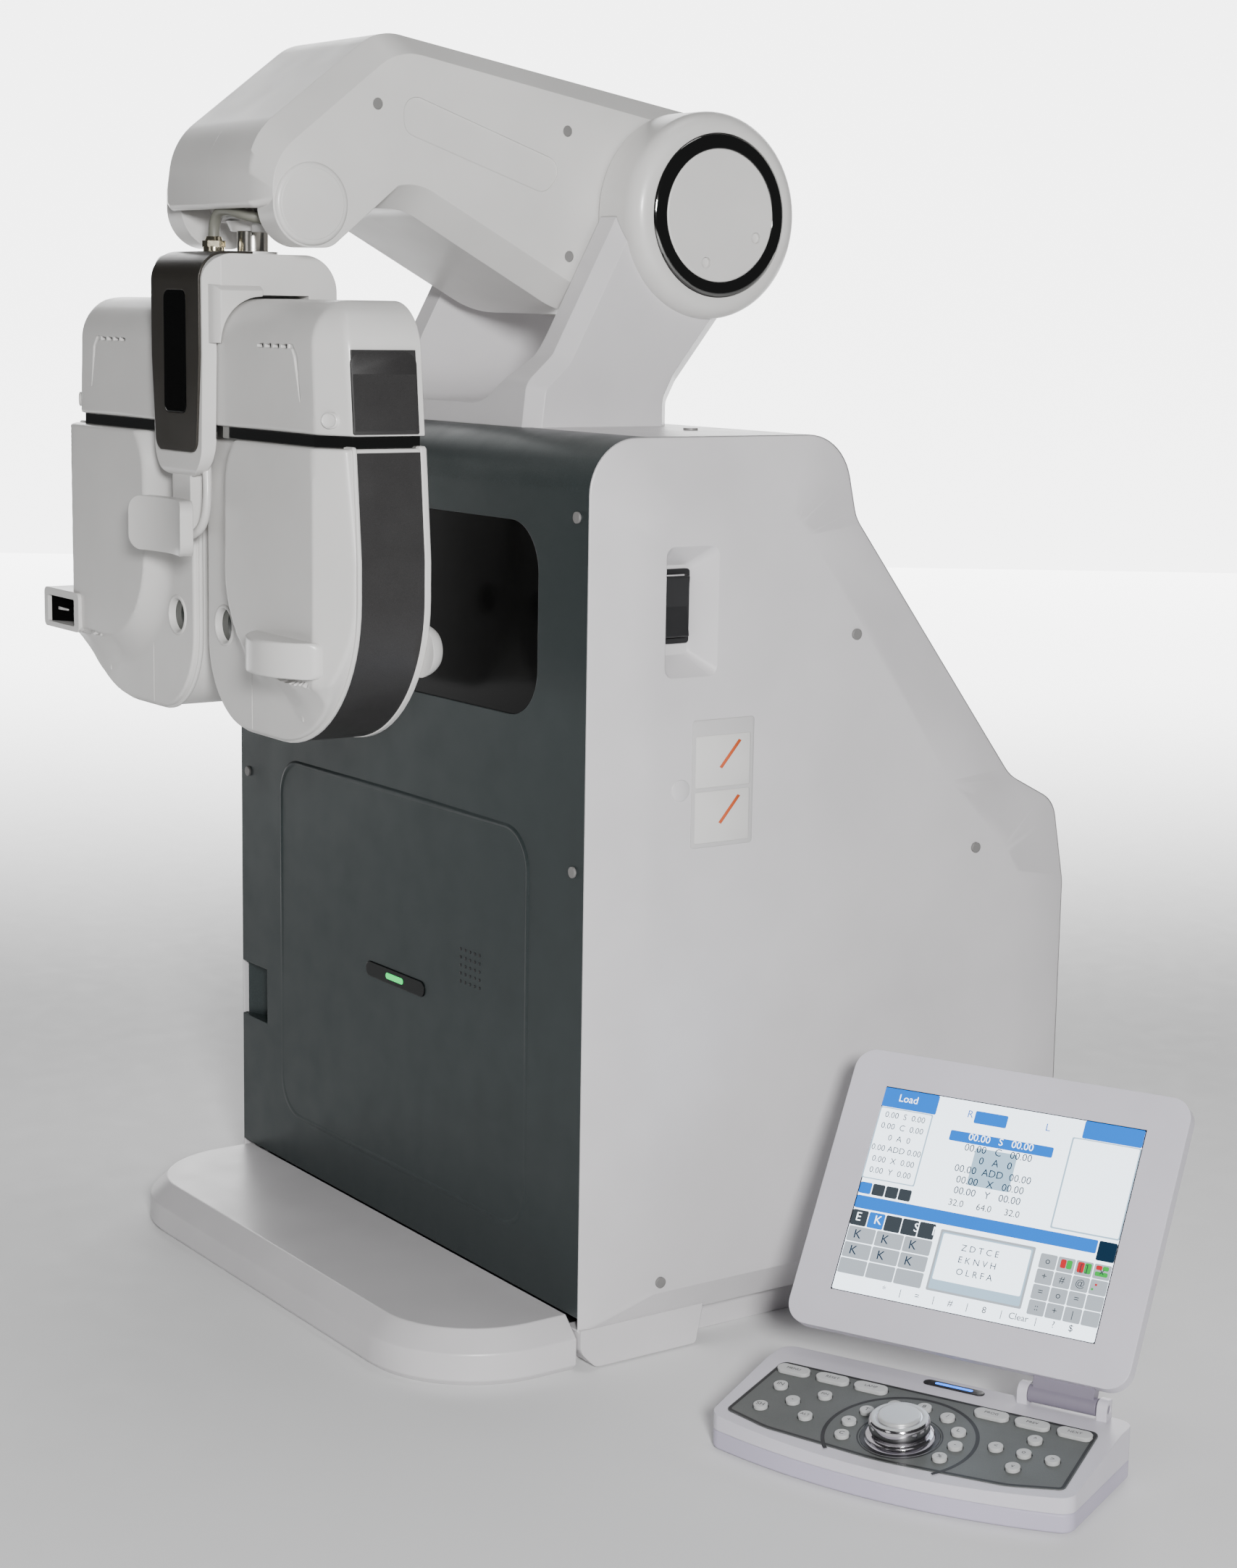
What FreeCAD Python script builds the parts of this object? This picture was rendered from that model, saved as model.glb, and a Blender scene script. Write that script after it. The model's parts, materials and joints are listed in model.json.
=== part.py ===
import FreeCAD, Part
import math
import os

V = FreeCAD.Vector
os.makedirs("parts", exist_ok=True)

# A digital phoropter: a cabinet with a chart window carries a lifting arm, the arm carries the
# refractor head on a vertical swivel, and a control console stands beside the cabinet.
# Millimetres. +X is to the right as the patient faces it, +Y into the cabinet, +Z up.
# The origin is on the centre line, in the plane of the front panel, at table level.

# ---------------------------------------------------------------- driving dimensions
wall = 3.0                  # moulded cover thickness
running = 0.05              # radial clearance of a shaft in its bore

cabinet_half = 217.0        # half width at the seam between front panel and side cover
cabinet_top = 559.0
cabinet_back = 385.0
shell_bottom = 23.0
front_round = 33.0          # radius where the front turns into the top
plateau_out = 12.0          # how far the side cover's flat stands out

base_front = -102.0
base_top = 32.4
foot_radius = 14.0
base_chamfer = 12.0
base_corner = 75.0

window_half = 165.0
window_low = 390.0
window_high = 507.0
window_corner = 30.0
status_z = 197.6
status_half = 37.5
status_high = 10.0
scoop_low = 127.0
scoop_high = 166.0
scoop_inner = 180.0

pocket_y = (47.0, 85.0)     # hand recess for the lift switch in the right cover
pocket_z = (419.0, 496.0)
switch_z = (441.0, 479.0)

hub_y = 167.0               # lift axis
hub_z = 690.0
hub_radius = 64.0
hub_inner_x = 72.0
hub_outer_x = 112.0
ring_radius = 50.6
cap_radius = 41.0
lift_shaft_radius = 12.0
leg_outer = 100.0
saddle_half = 72.0
saddle_floor = 572.0
saddle_round = 45.0

arm_half = 70.0
arm_flat_half = 52.0        # where the chamfer to the side plane starts
nose_y = -99.0              # levelling axis at the arm's nose
nose_z = 689.0
nose_radius = 25.0
nose_gap_half = 50.0
nose_pin_radius = 6.0
swivel_y = -101.0           # head's vertical axis
swivel_radius = 9.5

head_top = 660.0
bracket_front = -152.0
bracket_half = 41.0
bracket_low = 528.0
sleeve_front = -145.3       # inside of the bracket's front wall, in front of the sliding housings
housing_front = -144.5
housing_low = 559.5
housing_top = 634.0
unit_back = -87.0
seam_y = -92.0              # joint between a lens case and its back cover
case_top = 552.5
case_face = -138.0          # level of the face round the eyepiece
pad_face = -149.5           # level of the raised front pad
bevel_back = -134.0
case_inner = 9.5
case_outer = 187.0
case_bottom = 380.0
eye_x = 32.0                # half of a 64 mm pupil distance
eye_z = 440.0
eye_radius = 10.5
wheel_x = 92.0
wheel_z = 467.5
wheel_radius = 76.0
lens_pitch = 66.0
lens_count = 12
gland_x = -6.0
gland_y = -124.0
cable_radius = 3.5
cable_route = [(-6, -124, 667), (-6, -124, 674), (-4.2, -124, 680), (0.2, -123.8, 684.4),
               (6.6, -123.4, 685.9), (14.5, -123, 685.6), (23, -122, 684.2), (30, -118.5, 682.3),
               (34.3, -110, 680.5)]
rail_y = -112.0
rail_z = 612.0
rail_radius = 5.0

console_x = 450.0           # middle of the console's front edge, on the table
console_y = 43.5
console_yaw = 24.8
console_half = 106.0
console_back = 95.0
console_front_high = 21.0
console_slope = 0.138
key_travel = 1.2
dial_v = 21.5
dial_radius = 17.0
screen_v = 85.0
screen_z = 50.5
screen_tilt = 33.4
screen_half = 105.0
screen_high = 171.5
screen_thick = 20.0
hinge_v = 90.0
hinge_z = 37.0
hinge_ends = (48.0, 88.0)
hinge_pin_radius = 2.5
panel_half = 81.5
panel_high = 126.4
panel_low = 23.3


# ---------------------------------------------------------------- small tools
def in_yz(x):
    return lambda a, b: V(x, a, b)


def in_xz(y):
    return lambda a, b: V(a, y, b)


def in_xy(z):
    return lambda a, b: V(a, b, z)


def block(x0, x1, y0, y1, z0, z1):
    return Part.makeBox(x1 - x0, y1 - y0, z1 - z0, V(x0, y0, z0))


def rod(radius, start, end):
    along = end - start
    return Part.makeCylinder(radius, along.Length, start, along)


def wire(corners, place):
    """Closed outline from (a, b, corner radius) triples."""
    bends = []
    for i, (a, b, radius) in enumerate(corners):
        here = V(a, b, 0)
        last = corners[i - 1]
        following = corners[(i + 1) % len(corners)]
        back = (V(last[0], last[1], 0) - here).normalize()
        ahead = (V(following[0], following[1], 0) - here).normalize()
        if not radius:
            bends.append((here, None, here))
            continue
        half = back.getAngle(ahead) / 2
        reach = radius / math.tan(half)
        middle = (back + ahead).normalize() * (radius / math.sin(half) - radius)
        bends.append((here + back * reach, here + middle, here + ahead * reach))
    edges = []
    for i, (start, middle, end) in enumerate(bends):
        left_off = bends[i - 1][2]
        if (start - left_off).Length > 1e-6:
            edges.append(Part.LineSegment(place(left_off.x, left_off.y),
                                          place(start.x, start.y)).toShape())
        if middle:
            edges.append(Part.Arc(place(start.x, start.y), place(middle.x, middle.y),
                                  place(end.x, end.y)).toShape())
    return Part.Wire(edges)


def prism(corners, place, along):
    return Part.Face(wire(corners, place)).extrude(along)


def slab_x(corners, x0, x1):
    return prism(corners, in_yz(x0), V(x1 - x0, 0, 0))


def slab_y(corners, y0, y1):
    return prism(corners, in_xz(y0), V(0, y1 - y0, 0))


def slab_z(corners, z0, z1):
    return prism(corners, in_xy(z0), V(0, 0, z1 - z0))


def loft(first, first_place, second, second_place):
    return Part.makeLoft([wire(first, first_place), wire(second, second_place)], True, True)


def inset(corners, depth):
    """The outline moved inwards by depth on every side; it runs either way round."""
    count = len(corners)
    area = 0.0
    for i in range(count):
        a, b = corners[i - 1], corners[i]
        area += a[0] * b[1] - b[0] * a[1]
    side = 1.0 if area > 0 else -1.0
    moved = []
    for i in range(count):
        p = V(corners[i - 1][0], corners[i - 1][1], 0)
        q = V(corners[i][0], corners[i][1], 0)
        r = V(corners[(i + 1) % count][0], corners[(i + 1) % count][1], 0)
        u = (q - p).normalize()
        w = (r - q).normalize()
        nu = V(-u.y, u.x, 0) * side
        nw = V(-w.y, w.x, 0) * side
        turn = u.x * w.y - u.y * w.x
        shift = (nu + nw) * (depth / (1 + nu.dot(nw)))
        radius = corners[i][2]
        if radius:
            radius = max(radius - depth * (1.0 if turn * side > 0 else -1.0), 1.0)
        moved.append((q.x + shift.x, q.y + shift.y, radius))
    return moved


def rectangle(a0, a1, b0, b1, radius):
    return [(a0, b0, radius), (a1, b0, radius), (a1, b1, radius), (a0, b1, radius)]


def mirrored(shape):
    return shape.mirror(V(0, 0, 0), V(1, 0, 0))


def both_sides(shape):
    return Part.makeCompound([shape, mirrored(shape)])


def fuse(shapes):
    whole = shapes[0].multiFuse(shapes[1:]) if len(shapes) > 1 else shapes[0]
    return whole.removeSplitter()


def save(name, shape):
    shape.exportStep("parts/" + name + ".step")


# ---------------------------------------------------------------- cabinet
def side_profile():
    """Outer edge of the cabinet seen from the side, (y, z, radius)."""
    return [(0, shell_bottom, 3), (0, cabinet_top, front_round), (186, cabinet_top, 34),
            (198, 508, 24), (334, 337, 30), (374, 317, 22), (cabinet_back, 262, 30),
            (cabinet_back, shell_bottom, 3)]


def plateau_profile():
    return [(45.6, 43, 4), (45.6, 510.5, 15), (142, 510.5, 10), (152, 500, 6),
            (272, 339, 20), (322, 292, 14), (334.5, 272, 14), (334.5, 43, 4)]


def side_cover():
    seam = cabinet_half
    face = seam + plateau_out
    outer = loft(side_profile(), in_yz(seam), plateau_profile(), in_yz(face))
    inner = loft(inset(side_profile(), wall), in_yz(seam), inset(plateau_profile(), wall),
                 in_yz(face - wall))
    foot = slab_x([(1, 26, 0), (1, 12, 10), (12, 1, 8), (87, 1, 3), (92, 26, 0)], seam - 13, seam + 3)
    lip = slab_x(side_profile(), seam - 8, seam)
    lip = lip.cut(slab_x(inset(side_profile(), wall), seam - 9, seam + 1))
    lip = lip.cut(slab_x(rectangle(-1, 400, shell_bottom + wall, 700, 0), seam - 9, seam - 0.001))
    lip = lip.cut(block(seam - 9, seam - 0.001, cabinet_back - 30.3, cabinet_back + 1, 0, 700))
    return fuse([outer.cut(inner), foot, lip])


def side_cover_right():
    cover = side_cover()
    face = cabinet_half + plateau_out
    liner = slab_x(rectangle(pocket_y[0] - wall, pocket_y[1] + wall, pocket_z[0] - wall,
                             pocket_z[1] + wall, 6), face - 17, face - 1)
    pocket = loft(rectangle(pocket_y[0], pocket_y[1], pocket_z[0], pocket_z[1], 6), in_yz(face + 0.01),
                  rectangle(pocket_y[0] + 2, pocket_y[1] - 12, pocket_z[0] + 12, pocket_z[1] - 12, 4),
                  in_yz(face - 14))
    return cover.fuse(liner).cut(pocket).removeSplitter()


def side_cover_left():
    return mirrored(side_cover())


def front_panel():
    """Folded front sheet, and the cup behind it that holds the power switch."""
    outer = [(0, base_top + 0.6, 0), (0, cabinet_top, front_round), (40, cabinet_top, 0),
             (40, cabinet_top - wall, 0), (wall, cabinet_top - wall, front_round - wall),
             (wall, base_top + 0.6, 0)]
    panel = slab_x(outer, -cabinet_half, cabinet_half)
    window = slab_y(rectangle(-window_half, window_half, window_low, window_high, window_corner), -1, 5)
    low = status_z - status_high / 2
    status = slab_y(rectangle(-status_half, status_half, low, low + status_high, 4.9), -1, 5)
    cup = block(-cabinet_half, 3 - scoop_inner, wall, 18, scoop_low - 3, scoop_high + 3)
    scoop = slab_z([(-cabinet_half - 1, -1, 0), (-scoop_inner, -1, 0), (-scoop_inner, 14, 3),
                    (-scoop_inner - 14, 14, 8), (-cabinet_half - 1, 4, 0)], scoop_low, scoop_high)
    return Part.makeCompound([panel.cut(window).cut(status).cut(scoop), cup.cut(scoop)])


def chart_window():
    return slab_y(rectangle(-window_half, window_half, window_low, window_high, window_corner), 0.6, 4.6)


def status_light():
    low = status_z - status_high / 2
    return slab_y(rectangle(-status_half, status_half, low, low + status_high, 4.9), -0.8, 3)


def power_rocker():
    x = -scoop_inner - 7.6
    z = (scoop_low + scoop_high) / 2
    body = slab_x([(9.5, z - 6, 1), (8.2, z, 0), (9.5, z + 6, 1), (12.2, z + 6, 0), (13.4, z, 0),
                   (12.2, z - 6, 0)], x - 4.5, x + 4.5)
    return body.cut(rod(1.0, V(x - 5, 11, z), V(x + 5, 11, z)))


def top_deck():
    outer = [(40, cabinet_top, 0), (186, cabinet_top, 34), (198, 508, 24), (203, 501.7, 0)]
    inner = [(201.0, 499.4, 0), (195.2, 507, 21), (183.6, cabinet_top - wall, 31),
             (40, cabinet_top - wall, 0)]
    return slab_x(outer + inner, -cabinet_half, cabinet_half)


def rear_cover():
    outer = [(203.4, 501.2, 0), (334, 337, 30), (374, 317, 22), (cabinet_back, 262, 30),
             (cabinet_back, shell_bottom, 3), (cabinet_back - 30, shell_bottom, 0)]
    inner = [(cabinet_back - 30, shell_bottom + wall, 0), (cabinet_back - wall, shell_bottom + wall, 0),
             (cabinet_back - wall, 262.3, 27), (371.7, 314.8, 19), (332.3, 334.5, 33), (201.3, 499, 0)]
    return slab_x(outer + inner, -cabinet_half, cabinet_half)


def base_plate():
    front = base_front
    edge = cabinet_half

    def outline(shrink):
        return [(shrink - edge, 0, 0), (shrink - edge, front + shrink, base_corner - shrink),
                (edge - shrink, front + shrink, base_corner - shrink), (edge - shrink, 0, 0)]
    lower = loft(outline(4), in_xy(0), outline(0), in_xy(4))
    middle = slab_z(outline(0), 4, base_top - base_chamfer)
    upper = loft(outline(0), in_xy(base_top - base_chamfer), outline(base_chamfer), in_xy(base_top))
    tongue = block(-200, 200, -10, 372, 0, base_top - base_chamfer)
    pockets = [rod(foot_radius + 0.3, V(x, y, -1), V(x, y, 2)) for x, y in foot_places()]
    return fuse([lower, middle, upper, tongue]).cut(pockets)


def foot_places():
    return [(x, y) for x in (-150, 150) for y in (-58, 335)]


def rubber_feet():
    return Part.makeCompound([rod(foot_radius, V(x, y, 0), V(x, y, 2)) for x, y in foot_places()])


def chassis_frame():
    low = base_top - base_chamfer + 4
    top = cabinet_top - wall
    floor = block(-200, 200, 6, cabinet_back - 30.5, low - 4, low)
    cheek = slab_x([(36, low, 0), (184, low, 0), (184, top - 24, 0), (157, top, 0), (36, top, 0)], 196, 200)
    roof = block(-196, 196, 44, 157, top - 6, top)
    return fuse([floor, cheek, mirrored(cheek), roof])


def chart_mirror():
    tilted = Part.makeBox(300, 150, 5, V(-150, 0, 0))
    tilted.rotate(V(0, 0, 0), V(1, 0, 0), -45)
    tilted.translate(V(0, 40, 505))
    return tilted


def mode_switch_bezel():
    x = cabinet_half + plateau_out - 14
    outer = slab_x(rectangle(50, 72, switch_z[0] - 3, switch_z[1] + 3, 2), x, x + 2.5)
    return outer.cut(slab_x(rectangle(52, 70, switch_z[0], switch_z[1], 1), x - 1, x + 4))


def mode_rocker():
    x = cabinet_half + plateau_out - 14
    middle = sum(switch_z) / 2
    corners = [(x + 3.6, switch_z[0] + 1, 0), (x + 6.6, switch_z[0] + 1, 1), (x + 4.4, middle, 0),
               (x + 6.6, switch_z[1] - 1, 1), (x + 3.6, switch_z[1] - 1, 0), (x + 0.9, middle, 0)]
    body = prism(corners, in_xz(52.6), V(0, 16.8, 0))
    return body.cut(rod(0.9, V(x + 2.5, 50, middle), V(x + 2.5, 72, middle)))


def cabinet_screws():
    face = cabinet_half + plateau_out
    screws = []
    for y, z in ((190.7, 438), (295, 295), (52, 50)):
        screws.append(Part.makeCylinder(3.4, 1.6, V(face, y, z), V(1, 0, 0)))
        screws.append(Part.makeCylinder(3.4, 1.6, V(-face, y, z), V(-1, 0, 0)))
    for x in (-206, 206):
        for z in (305, 513):
            screws.append(Part.makeCylinder(3.4, 1.4, V(x, 0, z), V(0, -1, 0)))
    for x in (-150, 150):
        screws.append(Part.makeCylinder(4.5, 1.4, V(x, 120, cabinet_top), V(0, 0, 1)))
    return Part.makeCompound(screws)


# ---------------------------------------------------------------- yoke and hub
def leg_profile():
    return [(35, cabinet_top, 0), (38, 586, 14), (57, 603, 14), (113, 706, 10), (213, 664, 10),
            (150, 587, 14), (143, 574, 10), (143, cabinet_top, 0)]


def yoke_bracket():
    full = leg_profile()
    thin = inset(full, 9)
    thin[0] = (44, cabinet_top, 0)
    thin[-1] = (134, cabinet_top, 0)
    shoulder = leg_outer - 9
    core = slab_x(full, -shoulder, shoulder)
    right = loft(full, in_yz(shoulder), thin, in_yz(leg_outer))
    boss = rod(46, V(-leg_outer, hub_y, hub_z), V(leg_outer, hub_y, hub_z))
    saddle = slab_y([(-saddle_half - 2, 800, 0), (-saddle_half - 2, saddle_floor, saddle_round),
                     (saddle_half + 2, saddle_floor, saddle_round), (saddle_half + 2, 800, 0)], 0, 300)
    bore = rod(lift_shaft_radius, V(-120, hub_y, hub_z), V(120, hub_y, hub_z))
    return fuse([core, right, mirrored(right), boss]).cut(saddle).cut(bore)


def hub_cover(yoke):
    start = V(hub_inner_x, hub_y, hub_z)
    shell = rod(hub_radius, start, V(hub_outer_x, hub_y, hub_z))
    rim = [edge for edge in shell.Edges
           if edge.BoundBox.XMin > hub_outer_x - 1 and edge.BoundBox.YLength > hub_radius]
    shell = shell.makeFillet(12, rim)
    shell = shell.cut(rod(hub_radius - wall, start - V(1, 0, 0), V(hub_outer_x - 9, hub_y, hub_z)))
    shell = shell.cut(rod(ring_radius, V(hub_outer_x - 5, hub_y, hub_z), V(130, hub_y, hub_z)))
    return shell.cut(yoke)


def hub_covers(yoke):
    return both_sides(hub_cover(yoke))


def hub_rings():
    start = V(hub_outer_x - 5, hub_y, hub_z)
    ring = rod(ring_radius, start, V(hub_outer_x + 1, hub_y, hub_z))
    rim = [edge for edge in ring.Edges
           if edge.BoundBox.XMin > hub_outer_x and edge.BoundBox.YLength > ring_radius]
    ring = ring.makeFillet(3, rim)
    return both_sides(ring.cut(rod(cap_radius, start - V(1, 0, 0), V(130, hub_y, hub_z))))


def hub_caps():
    cap = rod(cap_radius, V(hub_outer_x - 5, hub_y, hub_z), V(hub_outer_x + 1.5, hub_y, hub_z))
    rim = [edge for edge in cap.Edges
           if edge.BoundBox.XMin > hub_outer_x and edge.BoundBox.YLength > cap_radius]
    cap = cap.makeFillet(1.2, rim)
    for angle in (-110, -25):
        y = hub_y + 31 * math.cos(math.radians(angle))
        z = hub_z + 31 * math.sin(math.radians(angle))
        cap = cap.cut(rod(3.4, V(hub_outer_x - 1, y, z), V(130, y, z)))
    return both_sides(cap)


def pivot_shaft():
    return rod(lift_shaft_radius, V(-leg_outer, hub_y, hub_z), V(leg_outer, hub_y, hub_z))


# ---------------------------------------------------------------- arm
def arm_middle_profile():
    return [(-131, 686, 4), (-131, 726, 42), (-44, 793, 34), (231, 748, 60), (231, 626, 60),
            (88, 628, 70), (-28, 689, 40)]


def arm_side_profile():
    return [(-124, 688, 4), (-124, 714, 36), (-40, 780.5, 36), (224, 735, 50), (224, 637, 46),
            (92, 643, 60), (-26, 704, 36)]


def nose_lobe(shrink, x0, x1):
    corners = [(-124, 664, 24.5), (-86, 664, 14), (-30, 710, 0), (-60, 722, 0), (-110, 712, 0),
               (-124, 696, 0)]
    return slab_x(inset(corners, shrink) if shrink else corners, x0, x1)


def arm_half_solid(shrink):
    middle = inset(arm_middle_profile(), shrink) if shrink else arm_middle_profile()
    side = inset(arm_side_profile(), shrink) if shrink else arm_side_profile()
    flat = arm_flat_half - shrink / 2
    core = slab_x(middle, 0, flat)
    chamfer = loft(middle, in_yz(flat), side, in_yz(arm_half - shrink))
    return fuse([core, chamfer])


def arm_shell_right():
    outer = fuse([arm_half_solid(0), nose_lobe(0, nose_gap_half, arm_half)])
    inner = fuse([arm_half_solid(wall), nose_lobe(wall, nose_gap_half + wall, arm_half - wall)])
    gap = block(-1, nose_gap_half, -128, -58, 650, 716)
    liner = block(0, nose_gap_half + wall, -131 + wall, -58 + wall, 680, 716 + wall)
    hub_hole = rod(34, V(50, hub_y, hub_z), V(80, hub_y, hub_z))
    pin_hole = rod(nose_pin_radius, V(0, nose_y, nose_z), V(80, nose_y, nose_z))
    shell = outer.cut(inner.cut(liner)).cut(gap)
    for y, z in ((-54.3, 748.3), (80.2, 739), (82.5, 663.1)):
        shell = shell.cut(rod(3.4, V(arm_half - 1.5, y, z), V(arm_half + 5, y, z)))
    shell = shell.cut(hub_hole).cut(pin_hole)
    return max(shell.Solids, key=lambda solid: solid.Volume)


def arm_beam():
    sleeve = rod(24, V(-68, hub_y, hub_z), V(68, hub_y, hub_z))
    beam = slab_x([(-50, 722, 0), (-44, 770, 0), (190, 728, 0), (190, 652, 0), (100, 652, 0)], -18, 18)
    bore = rod(lift_shaft_radius + running, V(-70, hub_y, hub_z), V(70, hub_y, hub_z))
    return fuse([sleeve, beam]).cut(bore)


def nose_caps():
    pin = rod(nose_pin_radius, V(-arm_half, nose_y, nose_z), V(arm_half, nose_y, nose_z))
    cap = Part.makeCone(nose_radius - 1.6, nose_radius - 4.5, 2.5, V(arm_half, nose_y, nose_z), V(1, 0, 0))
    return fuse([pin, cap, mirrored(cap)])


def arm_screws():
    heads = []
    for y, z in ((-54.3, 748.3), (80.2, 739), (82.5, 663.1)):
        heads.append(rod(3.3, V(arm_half - 1.4, y, z), V(arm_half - 0.4, y, z)))
    return both_sides(Part.makeCompound(heads))


# ---------------------------------------------------------------- swivel
def swivel_block():
    profile = [(-116, 679, 4), (-116, 702, 12), (-84, 708, 12), (-78, 692, 10), (-80, 679, 4)]
    body = slab_x(profile, -24, 24)
    collar = Part.makeCone(15, 18, 6, V(0, swivel_y + 2, 674))
    lug = block(22, 39, -113, -105.6, 673, 690)
    pin_bore = rod(nose_pin_radius + running, V(-30, nose_y, nose_z), V(40, nose_y, nose_z))
    seat = rod(swivel_radius, V(0, swivel_y, 660), V(0, swivel_y, 681))
    end = V(*cable_route[-1])
    along = (end - V(*cable_route[-2])).normalize()
    port = rod(cable_radius + 0.1, end - along * 9, end + along * 0.5)
    return fuse([body, collar, lug]).cut(pin_bore).cut(seat).cut(port)


def swivel_shaft():
    return rod(swivel_radius, V(0, swivel_y, 642), V(0, swivel_y, 681))


# ---------------------------------------------------------------- head bracket
def bracket_body():
    depth = [(-145, bracket_low, 0), (bracket_front, bracket_low, 5), (bracket_front, head_top, 16),
             (-66, head_top, 22), (-66, 553, 6), (-145, 553, 0)]
    front = [(-31, bracket_low, 20), (31, bracket_low, 20), (33.5, 600, 0), (33, head_top + 1, 0),
             (-33, head_top + 1, 0), (-33.5, 600, 0)]
    wide = [(-38, bracket_low + 2, 24), (38, bracket_low + 2, 24), (bracket_half, 600, 0),
            (bracket_half, head_top + 1, 0), (-bracket_half, head_top + 1, 0), (-bracket_half, 600, 0)]
    nose = loft(front, in_xz(bracket_front), wide, in_xz(-143))
    body = fuse([nose, slab_y(wide, -143, -60)]).common(slab_x(depth, -60, 60))
    sleeve = block(-60, 60, sleeve_front, -85, housing_low - 8, housing_top + 2)
    web = block(-4, 4, rail_y - 10, rail_y + 10, rail_z - 14, housing_top + 2.5)
    rail = rod(rail_radius, V(-10, rail_y, rail_z), V(10, rail_y, rail_z))
    bore = rod(swivel_radius + running, V(0, swivel_y, 641), V(0, swivel_y, 670))
    flange = rod(15, V(0, swivel_y, head_top - 2), V(0, swivel_y, head_top + 2))
    lug = slab_y(rectangle(-12, 12, 492, bracket_low + 8, 5), -150, -142)
    stem_bore = rod(4 + running, V(0, -155, 498), V(0, -140, 498))
    body = body.cut(sleeve)
    return fuse([body, web, flange, lug]).cut(rail).cut(bore).cut(stem_bore)


def bracket_fascia():
    path = [(bracket_front, 500, 0), (bracket_front, head_top, 16), (-117.5, head_top, 0),
            (-117.5, head_top + 1.5, 0), (bracket_front - 1.5, head_top + 1.5, 17.5),
            (bracket_front - 1.5, 500, 0)]
    front = [(-27, 543, 8), (27, 543, 8), (32, 600, 0), (32, head_top + 5, 0),
             (-32, head_top + 5, 0), (-32, 600, 0)]
    skin = slab_x(path, -40, 40).common(slab_y(front, -170, -100))
    pocket = slab_y(rectangle(-14.7, 14.7, 566, 638.5, 5), bracket_front - 2, bracket_front - 0.5)
    return skin.cut(pocket)


def display_window():
    return slab_y(rectangle(-14.7, 14.7, 566, 638.5, 5), bracket_front - 1.5, bracket_front - 0.5)


def pd_rail():
    return rod(rail_radius, V(-165, rail_y, rail_z), V(165, rail_y, rail_z))


def cable_gland():
    base = V(gland_x, gland_y, head_top + 1.5)
    up = V(0, 0, 1)
    nut = slab_z([(gland_x + 7 * math.cos(math.radians(a)), gland_y + 7 * math.sin(math.radians(a)), 0)
                  for a in range(0, 360, 60)], head_top + 4, head_top + 8)
    neck = Part.makeCone(5.5, 4.6, 2.5, base + up * 6.5)
    return fuse([rod(6.5, base, base + up * 3), nut, neck]).cut(rod(cable_radius, base, base + up * 20))


def head_cable():
    """Tube along straight runs joined by tangent arcs; prints each arc's radius."""
    points = [V(*p) for p in cable_route]
    edges = []
    start = points[0]
    for i in range(1, len(points) - 1):
        back = points[i - 1] - points[i]
        ahead = points[i + 1] - points[i]
        half = back.getAngle(ahead) / 2
        reach = 0.45 * min(back.Length, ahead.Length)
        radius = reach * math.tan(half)
        print("cable arc", i, "radius", round(radius, 1))
        back.normalize()
        ahead.normalize()
        enter = points[i] + back * reach
        leave = points[i] + ahead * reach
        middle = points[i] + (back + ahead).normalize() * (radius / math.sin(half) - radius)
        edges.append(Part.LineSegment(start, enter).toShape())
        edges.append(Part.Arc(enter, middle, leave).toShape())
        start = leave
    edges.append(Part.LineSegment(start, points[-1]).toShape())
    path = Part.Wire(edges)
    section = Part.Wire(Part.makeCircle(cable_radius, points[0], points[1] - points[0]))
    tube = path.makePipeShell([section], True, False)
    share = tube.Volume / (math.pi * cable_radius ** 2 * path.Length)
    print("cable length", round(path.Length, 1), "volume share", round(share, 3))
    return tube


def forehead_rest():
    outer = rod(95, V(0, -248, 482), V(0, -248, 515)).cut(rod(87, V(0, -248, 480), V(0, -248, 520)))
    window = slab_y(rectangle(-36, 36, 482, 515, 9), -190, -140)
    pad = outer.common(window)
    stem = rod(4, V(0, -154, 498), V(0, -142, 498))
    return fuse([pad, stem])


# ---------------------------------------------------------------- one half of the head
def housing_outline():
    return [(30, housing_low, 0), (180, housing_low, 0), (173, housing_top, 30), (30, housing_top, 0)]


def unit_housing():
    front = [(30, housing_low, 0), (155, housing_low, 0), (152, 621, 22), (30, 621, 0)]
    shell = fuse([slab_y(housing_outline(), bevel_back, unit_back),
                  loft(housing_outline(), in_xz(bevel_back), front, in_xz(housing_front))])
    cavity = fuse([slab_y(inset(housing_outline(), wall), bevel_back, unit_back - wall),
                   loft(inset(housing_outline(), wall), in_xz(bevel_back), inset(front, wall),
                        in_xz(housing_front + wall))])
    sleeve = block(60, 130, rail_y - 10, rail_y + 10, rail_z - 12, housing_top - 2)
    bore = rod(rail_radius + running, V(20, rail_y, rail_z), V(190, rail_y, rail_z))
    return fuse([shell.cut(cavity), sleeve]).cut(bore)


def case_outline():
    return [(case_inner, case_bottom, 50), (case_outer, case_bottom, 88), (case_outer, 490, 60),
            (181.5, case_top, 2), (case_inner, case_top, 8)]


def pad_outlines():
    low = [(48.5, 411, 62), (185.5, 411, 40), (181.5, case_top, 2), (48.5, case_top, 28)]
    high = [(55.5, 420, 56), (163.5, 420, 30), (160, case_top, 2), (55.5, case_top, 28)]
    return low, high


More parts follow.
